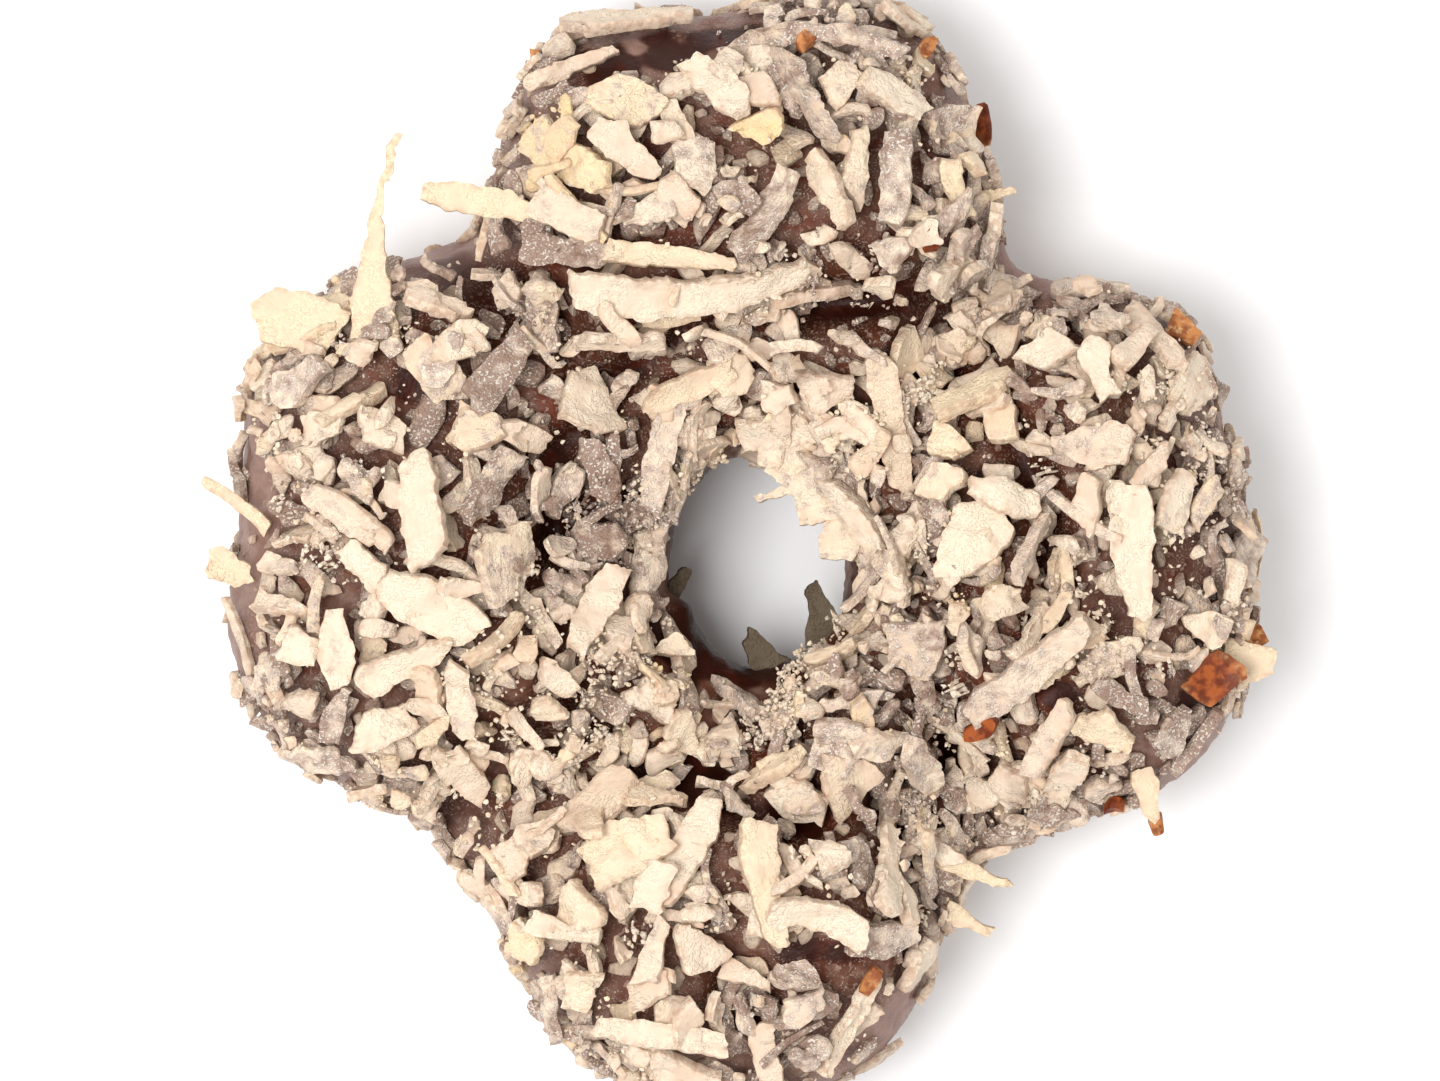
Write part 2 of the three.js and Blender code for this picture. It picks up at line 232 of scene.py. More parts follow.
class Value:
    """A socket that takes part in sums. Each operator adds one Math node."""

    def __init__(self, tree, socket):
        self.tree = tree
        self.socket = socket

    def math(self, operation, first, second, clamp=False):
        node = self.tree.nodes.new("ShaderNodeMath")
        node.operation = operation
        node.use_clamp = clamp
        for place, term in zip(node.inputs, (first, second)):
            if isinstance(term, Value):
                self.tree.links.new(term.socket, place)
            else:
                place.default_value = term
        return Value(self.tree, node.outputs[0])

    def __add__(self, other):
        return self.math("ADD", self, other)

    def __radd__(self, other):
        return self.math("ADD", other, self)

    def __sub__(self, other):
        return self.math("SUBTRACT", self, other)

    def __rsub__(self, other):
        return self.math("SUBTRACT", other, self)

    def __mul__(self, other):
        return self.math("MULTIPLY", self, other)

    def __rmul__(self, other):
        return self.math("MULTIPLY", other, self)

    def kept(self):
        """The same value held between 0 and 1."""
        return self.math("ADD", self, 0.0, clamp=True)

    def from_to(self, low, high):
        """0 below low, 1 above high and smooth between, or the other way round if high is lower."""
        node = self.tree.nodes.new("ShaderNodeMapRange")
        node.interpolation_type = "SMOOTHSTEP"
        self.tree.links.new(self.socket, node.inputs["Value"])
        node.inputs["From Min"].default_value = low
        node.inputs["From Max"].default_value = high
        return Value(self.tree, node.outputs["Result"])


class Finish:
    """A material and the nodes that it is built from."""

    def __init__(self, name):
        self.material = bpy.data.materials.new(name)
        self.material.use_nodes = True
        self.tree = self.material.node_tree
        self.shader = self.tree.nodes["Principled BSDF"]

    def node(self, kind, settings=None, output=0, **inputs):
        """A node's output: its settings are set first, then its sockets by name or number."""
        node = self.tree.nodes.new(kind)
        for name, setting in (settings or {}).items():
            setattr(node, name, setting)
        self.fill(node, inputs)
        return Value(self.tree, node.outputs[output])

    def fill(self, node, inputs):
        for name, term in inputs.items():
            place = node.inputs[int(name[1:]) if name[0] == "_" else name.replace("_", " ")]
            if isinstance(term, Value):
                self.tree.links.new(term.socket, place)
            else:
                place.default_value = term

    def place(self, size, detail=2.0, vector=None, stretch=None):
        """Soft noise from 0 to 1 with lumps of this size in millimetres."""
        vector = vector or self.node("ShaderNodeTexCoord", output="Object")
        if stretch:
            vector = self.node("ShaderNodeVectorMath", {"operation": "MULTIPLY"}, _0=vector, _1=stretch)
        return self.node("ShaderNodeTexNoise", Vector=vector, Scale=1 / (size * mm), Detail=detail)

    def specks(self, size, low, high):
        """Rough grains of about this size in millimetres, the more of them the lower the two levels."""
        return self.place(size, detail=1).from_to(low, high)

    def painted(self, name):
        return self.node("ShaderNodeAttribute", {"attribute_name": name}, output="Fac")

    def blend(self, share, first, second):
        """A colour between two, by a share from 0 to 1."""
        colours = {"data_type": "RGBA"}
        return self.node("ShaderNodeMix", colours, output=2, _0=share, _6=first, _7=second)

    def finish(self, piece, **inputs):
        self.fill(self.shader, inputs)
        piece.data.materials.append(self.material)


deep_cocoa, thin_cocoa = (0.080, 0.022, 0.009, 1), (0.235, 0.116, 0.076, 1)
milky_cocoa, mauve_cocoa = (0.43, 0.31, 0.255, 1), (0.29, 0.165, 0.128, 1)
flank_cocoa, split_and_shade_cocoa = (0.28, 0.178, 0.148, 1), (0.034, 0.0075, 0.0035, 1)
red_cocoa, glaze_shine = (0.15, 0.022, 0.008, 1), 0.16
glazed_grit, glazed_sugar = (0.34, 0.22, 0.17, 1), (0.52, 0.40, 0.32, 1)
pale_crust, brown_crust = (0.30, 0.15, 0.060, 1), (0.18, 0.078, 0.030, 1)


def cocoa_glaze(piece):
    """Set cocoa glaze: dark red-brown in the splits, mauve-brown and milky where it lies open, and
    painted shade on the ledge in the hole and between crowded pieces.
    """
    glaze = Finish("cocoa_glaze")
    crease_and_shade, crowd_shade_and_grit = glaze.painted("crease_and_shade"), glaze.painted("crowd_shade_and_grit")
    under, flank_face = glaze.painted("under"), glaze.painted("flank")
    clouds = glaze.place(5.0, detail=3)
    patches = glaze.place(1.5, detail=3)
    runs = glaze.place(2.0, detail=3, stretch=(1, 1, 0.35))
    fine = glaze.place(0.3, detail=2)
    # crowd_shade_and_grit paints shade: the glaze between crowded pieces is kept at its darkest
    open_glaze = (1 - crease_and_shade * 1.2 - crowd_shade_and_grit * 0.6).kept()
    thin = ((clouds.from_to(0.38, 0.62) * 0.6 + runs.from_to(0.42, 0.66) * 0.5) * open_glaze).kept()
    colour = glaze.blend(thin, deep_cocoa, thin_cocoa)
    milky = patches.from_to(0.48, 0.72) * clouds.from_to(0.4, 0.62) * open_glaze
    colour = glaze.blend(milky * 0.8, colour, milky_cocoa)
    mauve = glaze.painted("lobe") * (0.25 + patches.from_to(0.4, 0.6) * 0.6) * open_glaze
    colour = glaze.blend(mauve, colour, mauve_cocoa)
    dulled = flank_face * (0.35 + runs.from_to(0.35, 0.65) * 0.4)
    colour = glaze.blend(dulled, colour, flank_cocoa)
    # Near-black where glaze pools in the splits, and painted shade on the ledge and lower wall of the
    # hole
    colour = glaze.blend(crease_and_shade.from_to(0.22, 0.85), colour, split_and_shade_cocoa)
    red = glaze.place(3.4, detail=2).from_to(0.54, 0.68) * (1 - flank_face)
    colour = glaze.blend(red * (0.5 - crease_and_shade * 0.25), colour, red_cocoa)
    crumby = clouds.from_to(0.72, 0.5) * crowd_shade_and_grit.from_to(0.25, 0.7) * (1 - crease_and_shade.from_to(0.35, 0.9))
    sugar = glaze.specks(0.17, 0.54, 0.66) * patches.from_to(0.44, 0.58) * crumby
    grit = glaze.specks(0.45, 0.52, 0.62) * patches.from_to(0.56, 0.4) * crumby
    colour = glaze.blend(grit * 0.75, colour, glazed_grit)
    colour = glaze.blend(sugar * 0.7, colour, glazed_sugar)
    baked = glaze.blend(patches.from_to(0.35, 0.7), pale_crust, brown_crust)
    colour = glaze.blend(under, colour, baked)
    height = patches * 0.5 + fine * 0.22 + sugar * 0.25 + grit * 0.5 + runs * 0.12
    normal = glaze.node("ShaderNodeBump", Strength=0.8, Distance=0.35 * mm, Height=height)
    rough = (0.46 + 0.3 * sugar + 0.2 * grit + 0.2 * under).kept()
    glaze.shader.inputs["Specular IOR Level"].default_value = glaze_shine
    glaze.finish(piece, Base_Color=colour, Roughness=rough, Normal=normal)


dough, dough_angles = dough_piece()
cocoa_glaze(dough)
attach(dough, "root")
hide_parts("doughnut")

# The coconut's resting places. The pieces fell on the wet glaze one after another, so each lies on
# what fell before it. A field over the skin keeps how high the heap has grown at every place and
# which places the large chips claim.
field_round, field_across = 420, 320
heap = np.zeros((field_round, field_across))
claimed = np.zeros((field_round, field_across), bool)
highest_heap, flank_heap, deepest_ground, steepest_lean = 3.4, 0.9, 2.5, 0.75
bare_zones = [
    # x, y, half width, half height of smooth glaze that few pieces stuck to
    (-42.5, 3.5, 4.0, 12.5),
    (-6.8, -5.0, 2.2, 4.2),
    (-1.5, -9.2, 5.0, 1.8),
    (-6.0, 42.6, 7.5, 2.6),
    (8.6, -37.0, 4.6, 7.0),
    (21.4, 25.8, 3.4, 3.0),
    (24.8, 23.6, 3.8, 3.0),
    (34.5, -14.5, 4.2, 4.6),
    (-23.6, -18.6, 3.0, 3.2),
    (-22.5, 24.6, 7.5, 2.6),
    (-17.6, 3.0, 1.0, 2.6),
    (9.0, 21.8, 5.5, 1.4),
]
bare_share, creased_share, claimed_share = 0.06, 0.75, 0.08
drip_line = (-42, -12)
flank = (-5, 36)
farthest_out = 1.2
gap_height = 0.35
seat_share, drape_limits = 0.85, (-1.2, 0.4)
steady_digits = 6


def nearest_on_skin(points):
    """Where on the skin each point nearby belongs."""
    theta = np.arctan2(points[..., 1], points[..., 0])
    middle, half, outer = ring_section(theta)
    radius = np.hypot(points[..., 0], points[..., 1])
    height = points[..., 2] - widest_level
    above = height > 0
    rise = np.where(above, crown_rise(radius, theta, outer), base_drop)
    fullness = np.where(above, crown_fullness, base_fullness)
    level = np.sign(height) * np.abs(height / rise) ** (1 / fullness)
    return theta, np.arctan2(level, (radius - middle) / half)


def crown_at(x, y):
    """Where on the crown a place seen from above lies."""
    theta = np.arctan2(y, x)
    middle, half, _ = ring_section(theta)
    return theta, np.arccos(np.clip((np.hypot(x, y) - middle) / half, -0.98, 0.98))


def heap_cells(theta, phi):
    around = np.floor(theta / math.tau * field_round).astype(int) % field_round
    across = np.floor(phi / math.tau * field_across).astype(int) % field_across
    return around, across


def unit(vectors):
    return vectors / np.maximum(np.linalg.norm(vectors, axis=-1, keepdims=True), 1e-9)


def steady(numbers):
    """The numbers without their last digits, so that every run and machine lays the same heap."""
    return np.round(numbers, steady_digits)


def slopes_under(x, y, ground):
    """The two slopes of the plane that lies best on the ground under each copy."""
    x, y = x - x.mean(), y - y.mean()
    along, across, both = (x * x).sum(), (y * y).sum(), (x * y).sum()
    rise_x, rise_y = (ground * x).sum(1), (ground * y).sum(1)
    spread = along * across - both * both
    slope_x = (rise_x * across - rise_y * both) / spread
    slope_y = (rise_y * along - rise_x * both) / spread
    return steady(slope_x), steady(slope_y)


def lay(chip, theta, phi, heading, tilt=0.0, roll=0.0, sunk=0.15, bend=0.3, lean=steepest_lean):
    """Copies of a chip laid on the heap, one at each place, as points in millimetres."""
    middle, normal = skin(theta, phi), skin_normal(theta, phi)
    forward = unit(heading - (heading * normal).sum(-1, keepdims=True) * normal)
    side = np.cross(normal, forward)
    x, y, z = chip.T
    flat = middle[:, None] + forward[:, None] * x[:, None] + side[:, None] * y[:, None]
    near = nearest_on_skin(flat)
    rise = ((skin(*near) - middle[:, None]) * normal[:, None]).sum(-1)
    ground = steady(np.maximum(rise, -deepest_ground) + heap[heap_cells(*near)])
    slope_x, slope_y = slopes_under(x, y, ground)
    slope_x = np.clip(slope_x + tilt, -lean, lean)[:, None]
    slope_y = np.clip(slope_y + roll, -lean, lean)[:, None]
    rest = ground - slope_x * x - slope_y * y
    seat = np.quantile(rest, seat_share, axis=1, keepdims=True)
    drape = bend * np.clip(rest - seat, *drape_limits)
    forward = unit(forward + slope_x * normal)
    side = side + slope_y * normal
    side = unit(side - (side * forward).sum(-1, keepdims=True) * forward)
    up = np.cross(forward, side)
    seated = (middle + normal * (seat - sunk))[:, None]
    flat = seated + forward[:, None] * x[:, None] + side[:, None] * y[:, None]
    return flat + up[:, None] * (z + drape)[..., None]


def overhang(points):
    """How far each point is outside the dough's outline, seen from above."""
    x, y = points[..., 0], points[..., 1]
    return np.hypot(x, y) - outline_radius(np.arctan2(y, x))


def settle(points, claims=False):
    """Adds points that now lie there to the heap, and gives how far each is above the skin."""
    near = nearest_on_skin(points)
    above = ((points - skin(*near)) * skin_normal(*near)).sum(-1)
    highest = flank_heap + (highest_heap - flank_heap) * smoothstep(np.degrees(near[1]), *flank)
    height = np.clip(above, 0, highest)
    around, across = heap_cells(*near)
    for step_round in (-1, 0, 1):
        for step_across in (-1, 0, 1):
            cells = (around + step_round) % field_round, (across + step_across) % field_across
            np.maximum.at(heap, cells, steady(height))
            claimed[cells] |= claims
    return above


# Large torn chips. Shaved coconut flesh, cream-white and about a millimetre thick, broken into strips
# and flakes with ragged ends. Those seen best have their places here, and the rest are thrown.
coconut_thickness = 1.0
crisp_angle = 40
wander_size, wander_reach = 1.6, 0.36
nibble_size, nibble_reach = 0.55, 0.22
rim_rounding, rim_width = 0.11, 0.3
top_chips = [
    # x, y, heading in degrees, length, width, curl in degrees
    (-10.5, 45, 12, 11, 3.5, 0),
    (-15, 40.5, 25, 8, 1.6, 0),
    (4, 43, -8, 15.5, 2, -70),
    (-3.5, 39, -50, 7.5, 2.5, 0),
    (-10.5, 37.5, -20, 7, 3.5, 0),
    (-10.5, 33.5, -45, 7.5, 3.5, 0),
    (-15.5, 33, -30, 10.4, 3.8, 0),
    (4, 38, -65, 9, 2.5, 0),
    (5.5, 30, -65, 7, 3, 0),
    (11, 31.5, 85, 8.5, 2.4, 0),
    (0.5, 28.5, 55, 8, 2.6, 0),
    (16.5, 37, 20, 5.5, 4, 0),
    (19, 26.5, -75, 6.5, 2.5, 0),
]
ring_chips = [
    (-7, 25, -5, 11, 1.8, 0),
    (-4.5, 21.3, 3, 22, 3.6, 42),
    (-12.5, 18, 0, 8, 3, 0),
    (4, 18, 30, 8, 2.8, 0),
    (-5.5, 14.5, 20, 8, 2, 0),
    (-8, 9.5, -100, 10.5, 2.5, 0),
    (10.5, 11.5, -80, 12.5, 2.6, 0),
    (7, 4.8, -45, 8, 2.3, 0),
    (16, 2.5, 35, 7.5, 4, 0),
    (-13, -3.5, 60, 8.5, 2.1, 0),
    (0, -16, 20, 6.2, 2.5, 0),
]
left_chips = [
    (-37, 20.5, -5, 8.5, 4.4, 0),
    (-37, 15.4, 30, 6, 3.4, 0),
    (-20, 17, 50, 9, 3.6, 0),
    (-33, 4.5, -30, 8.6, 2.1, 0),
    (-27, 4.8, -80, 9.5, 2.9, 0),
    (-21, 6.5, 55, 7, 2.9, 0),
    (-19.5, 1, 90, 7, 5, 0),
    (-26, -3, -30, 9.5, 4.1, 0),
    (-28.5, -7.6, 22, 8.6, 2.9, 0),
    (-33.7, -6, -85, 6.2, 2.1, 0),
    (-23.5, -10.7, -90, 7, 2, 0),
    (-30.3, -13.2, 15, 6, 3.4, 0),
    (-35, -15.4, 5, 5.6, 2.2, 0),
]
right_chips = [
    (16.8, 15, 30, 7.4, 2.3, 0),
    (27.3, 10, 5, 7.8, 2.9, 0),
    (22.2, 6, -25, 6.2, 2.3, 0),
    (30, 1.2, -85, 12.4, 4.4, 0),
    (19.5, 1.9, 58, 6.2, 1.7, 0),
    (19, -2.5, 0, 5, 3.4, 0),
    (17.6, -8, 50, 12.4, 3.4, 0),
    (28.2, -7.4, 20, 5.8, 2.5, 0),
    (29.2, -10.2, -30, 6.2, 2, 30),
    (36.8, -5, 20, 4.4, 3.4, 0),
    (35.5, -14, 70, 7, 1.7, 0),
    (28, -13.1, -45, 5.8, 3.6, 0),
]
bottom_chips = [
    (-13, -18.5, 35, 7.5, 3.6, 0),
    (-10, -21.4, 40, 8, 4.2, 0),
    (-4.7, -20.1, 60, 10.6, 3, 0),
    (0.6, -25, -80, 10.6, 3.5, 40),
    (4.8, -27.7, -15, 9, 2.2, -50),
    (10.8, -24, 55, 9, 3, 0),
    (8.5, -15.6, -20, 5, 4, 0),
    (18.7, -16, 10, 4.4, 4, 0),
    (13.1, -16.4, -50, 6.2, 2.3, 0),
    (23, -14.4, 65, 7.4, 1.6, 0),
    (24.5, -17, 75, 7.4, 2, 0),
    (-8, -25.4, 30, 5, 4, 0),
    (-8.4, -30, 75, 6.5, 2.4, 0),
    (-4.6, -30, 80, 5, 4.4, 0),
    (7.5, -36.3, 70, 10, 1.5, 0),
    (-8, -38.2, -12, 11, 1.6, -20),
    (13.5, -32, 80, 5, 3.6, 0),
]
slivers = [
    # x, y, heading away from the root, length, width, rise in degrees, taper, pointedness, curl
    (-30.7, 26.7, 85, 17.2, 3.9, 3, 0.8, 0, -0.45),
    (-22.3, 29.6, 172, 9.8, 2.8, 0, 0.1, 0.6, 0.1),
    (-36.9, 20.1, 172, 8.2, 4.8, -3, 0, 0.2, 0.4),
    (-41.8, 5.4, 145, 7, 1.2, 0, 0.3, 0, 0.5),
    (24.5, -2.2, 72, 9, 1.2, 0, 0.1, 0, 1.9),
    (39.4, -7.4, -10, 5.2, 3.4, -5, 0, 0.2, 0),
    (-42.6, 0.4, 178, 4.4, 3, 0, 0, 0.3, 0),
    (19.2, 30.4, 14, 3.4, 1.4, 0, 0.5, 0.3, 0),
    (17.6, -24.5, -18, 7.4, 2.2, 0, 0.6, 0.3, 0.2),
    (17.2, -28.6, -22, 4.6, 1.9, 0, 0.5, 0.3, 0.2),
    (31.6, -18.4, -70, 5.2, 2.4, 0, 0.4, 0.3, 0.2),
]
rind_slivers = [
    (39.8, -5.4, 20, 2.8, 1.9, 0, 0, 0.3, 0),
    (18.4, 36.1, 97, 3.8, 1.5, 0, 0.1, 0.4, 0.3),
    (13.7, 42.3, 70, 2.0, 1.3, 0, 0, 0.3, 0),
    (36.7, -8.7, -25, 5.0, 4.4, -6, 0, 0.2, 0),
    (32.5, -20.6, -70, 2.0, 1.4, 0, 0.2, 0.3, 0),
]
hole_shards = [
    # x, y and height of the root, heading, rise in degrees, length, width, taper, darkness: dark
    # olive-brown flesh with painted shade, for the shards deep in the hole
    (6.4, -7.0, 11.5, 110, 5, 6.8, 4.4, 0.6, 1),
    (2.8, -9.8, 11.0, 130, 8, 6.8, 4.8, 0.6, 1),
    (-9.0, -5.0, 10.0, 58, 0, 6.0, 3.2, 0.6, 1),
    (-1.5, 10.6, 13.5, -25, 0, 5.0, 2.8, 0.6, 1),
    (6.2, 7.7, 20.4, 197, -6, 6.8, 3.6, 0.8, 0),
    (9.0, 6.6, 20.6, 193, -8, 6.2, 4.4, 0.1, 0),
    (5.0, 11.0, 20.4, 228, -10, 5.0, 4.2, 0.1, 0),
    (10.2, 2.8, 20.4, 182, -10, 5.4, 4.8, 0.2, 0),
    (1.4, 12.0, 20.6, -98, -12, 3.8, 3.2, 0.2, 0),
    (-7.6, -7.8, 19.4, 50, -14, 3.0, 3.2, 0.2, 0),
]
thrown_chips, thrown_tries = 50, 6000
thrown_length, thrown_width = (7.5, 4.4), (2.7, 1.6)
thrown_spacing, thrown_band = 0.62, (-22, 168)
aiming_rounds, highest_root = 4, 1.8
lot = [20817]
tearing_seed = 5
# Without a seed of its own the tearing noise follows the clock, and no two runs are the same
noise.seed_set(tearing_seed)
middling_chips = [
    # the same, and the film of dried glaze, for chips that are too small for the solid
    (-5.5, 39.5, 10, 5, 2.5, 0, 0.2),
    (16, 30, -60, 5.5, 2, 30, 0.1),
    (0, 35, 15, 4, 2.5, 0, 0.0),
    (-4.8, 32.3, -80, 5, 3.6, 0, 0.5),
    (-6.3, 29.5, -45, 4.5, 2.6, 0, 0.1),
    (7.5, 24.6, -62, 5.8, 1.5, 0, 0.1),
    (7.9, 32.2, 80, 6.5, 2.8, 0, 0.3),
    (11, 38.3, -25, 7, 2.6, 0, 0.2),
    (7, 39, -60, 4.2, 3, 0, 0.3),
    (10.9, 25.4, 20, 3.8, 3, 0, 0.5),
    (9.9, 22.9, 60, 3, 2.3, 0, 0.0),
    (-15, 28.6, -30, 7, 3, 0, 0.3),
    (15.5, 23, 0, 5, 4, 0, 0.15),
    (19.5, 22, -75, 5.5, 3.5, 0, 0.25),
    (16.5, 18.5, 20, 5, 3.5, 0, 0.0),
    (30.5, 18.5, 40, 6, 2, 0, 0.1),
    (17.6, 32.9, 20, 3, 2, 0, 0.1),
    (13.5, 26.7, 0, 3, 2.8, 0, 0.15),
    (16.8, 26, -40, 4.6, 1.7, 0, 0.6),
    (12, 17.7, -60, 4.6, 3, 0, 0.1),
    (18.9, 13.7, 40, 4, 2.8, 0, 0.05),
    (22.7, 18, 25, 5, 2.6, 0, 0.15),
    (26.3, 16.9, -75, 5.8, 3.2, 0, 0.1),
    (27.8, 20.8, -50, 3.6, 2.2, 0, 0.5),
    (27, 23.2, 0, 2.8, 2.2, 0, 0.1),
    (33, 12.2, 50, 3.4, 1.8, 0, 0.1),
    (35.5, 15, 50, 5, 3, 0, 0.2),
    (5.5, 14, 0, 4.5, 4, 0, 0.1),
    (12, 3.5, 60, 5, 2, 0, 0.3),
    (11, -1, -85, 4.5, 1.5, 0, 0.1),
    (1.5, 6.5, 25, 5, 1.5, 0, 0.4),
    (15.4, 10.1, -15, 4, 3, 0, 0.1),
    (14.5, 6.9, -8, 4.8, 3.2, 0, 0.15),
    (27, 6, 75, 5, 3, 0, 0.0),
    (33.7, 5.3, 60, 5, 3, 0, 0.2),
    (15.7, -3.4, 10, 3.2, 2.3, 0, 0.1),
    (12.9, -6.1, 70, 5, 3.8, 0, 0.6),
    (18.6, -5, 38, 6.5, 1.3, 30, 0.2),
    (26.2, -5.2, -30, 4, 3.2, 0, 0.2),
    (21.3, -8.4, 30, 6, 2.6, 0, 0.1),
    (38.5, -1, 80, 3.5, 1, 0, 0.1),
    (27.6, -17.8, 30, 4, 3.2, 0, 0.5),
    (33.6, -13.3, 75, 4.8, 3, 0, 0.75),
    (21, -18, -30, 3.5, 3.5, 0, 0.05),
    (-25.4, 21.6, -25, 6, 2.6, 0, 0.05),
    (-19.5, 22.4, -70, 3.4, 1.6, 0, 0.05),
    (-16.7, 22.2, 10, 3.4, 2.3, 0, 0.35),
    (-23.6, 18.1, 50, 5, 3.2, 0, 0.1),
    (-22.2, 19.3, -50, 3, 1, 0, 0.0),
    (-25.6, 16.6, 70, 5, 2.4, 0, 0.6),
    (-34.7, 11.8, 20, 4.6, 3, 0, 0.25),
    (-29.8, 11.4, -25, 5, 3, 0, 0.1),
    (-23.3, 11.5, 10, 5, 4, 0, 0.25),
    (-18.4, 10.3, -8, 6, 1.8, 0, 0.05),
    (-13.4, 13.8, -5, 6.6, 4.4, 0, 0.1),
    (-32.5, 14, 30, 6.5, 1.1, 0, 0.1),
    (-38.5, -2.8, -10, 6, 2, 0, 0.15),
    (-38.8, 0.5, -10, 5, 2, 0, 0.3),
    (-37.4, -6.2, -20, 4, 3.2, 0, 0.25),
    (-31, -3, 70, 3.4, 2.2, 0, 0.3),
    (-12.8, 2.3, 30, 4.6, 3.4, 0, 1.0),
    (-11.3, -4.7, 60, 4, 2.8, 0, 0.4),
    (-9.3, -3, 90, 2.4, 2, 0, 0.1),
    (-21, -5.4, 42, 6, 1.1, 25, 0.0),
    (-26.6, -10, -75, 5.4, 2, 0, 0.1),
    (-16, -9, -25, 4.4, 1.8, 0, 0.0),
    (-16.2, -11.3, 0, 3.2, 3, 0, 0.15),
    (-12.2, -11.2, -10, 5.6, 2.8, 0, 0.9),
    (-35.9, -10.6, 10, 3.4, 2.4, 0, 0.3),
    (-38.6, -10.3, 80, 4, 2.4, 0, 0.3),
    (-23.7, -16.4, -55, 7.4, 2.4, 0, 0.2),
    (-18.1, -21.3, 80, 3.8, 2.8, 0, 0.35),
    (-20.5, -23.5, 60, 3.5, 3.5, 0, 0.1),
    (-15, -26.5, 0, 4, 4, 0, 0.1),
    (-18.3, -26.2, 0, 4.2, 2, 0, 0.1),
    (-16.2, -28.4, -5, 6.6, 2.2, 0, 0.15),
    (-18.2, -30.6, -10, 4, 3, 0, 0.1),
    (-11, -25.5, 80, 4.5, 2.5, 0, 0.1),
    (-14.4, -33.8, 10, 4.2, 3.4, 0, 0.15),
    (-8.8, -33.2, 30, 4.2, 3, 0, 0.15),
    (-1.5, -32.5, -60, 4, 3.5, 0, 0.2),
    (2.9, -32.4, -5, 4.8, 2.2, 0, 0.75),
    (2.5, -34.8, 35, 4.6, 2.8, 0, 0.5),
    (-3.2, -35.3, 80, 3.4, 1.9, 0, 0.3),
    (-5.3, -36.2, 60, 3.6, 2.2, 0, 0.1),
    (-6.3, -40.4, -30, 6.5, 3.6, 0, 0.1),
    (0.4, -39.8, -75, 6, 2.2, 50, 0.2),
    (12.1, -26.1, 75, 4.4, 1.7, 0, 0.0),
    (14.9, -23.5, -20, 5.4, 4, 0, 0.85),
    (10.5, -19.8, 50, 5.6, 1.2, 40, 0.2),
    (6, -23.5, 0, 4, 3.5, 0, 0.3),
    (0.9, -20.2, -80, 4.6, 3.4, 0, 0.9),
    (8.8, -13, -85, 6, 1.8, 0, 0.3),
    (7.5, -11.3, -15, 5, 2.6, 0, 0.4),
    (1.8, -11.8, 0, 2.8, 2, 0, 0.2),
    (-6.3, -13, -10, 4.2, 3.6, 0, 0.0),
    (-8.2, -15.6, 25, 3.6, 1.9, 0, 0.05),
    (-7.8, -17.6, 12, 5.6, 2.3, 0, 0.05),
    (5.4, -17.4, -60, 5.6, 4.2, 0, 0.2),
    (2.8, -15.6, 20, 4.4, 3.0, 0, 0.1),
    (7.0, -20.0, -50, 4.2, 2.6, 0, 0.35),
    (-2.6, -12.4, 40, 4.0, 2.6, 0, 0.3),
    (-8.4, -10.4, -35, 4.4, 3.2, 0, 0.05),
    (-2.0, 15.6, 15, 4.6, 3.0, 0, 0.0),
    (1.4, 13.4, -20, 3.8, 2.8, 0, 0.1),
    (-9.6, 14.2, -40, 3.8, 2.6, 0, 0.1),
    (-16.8, 6.4, 70, 4.4, 2.6, 0, 0.7),
]
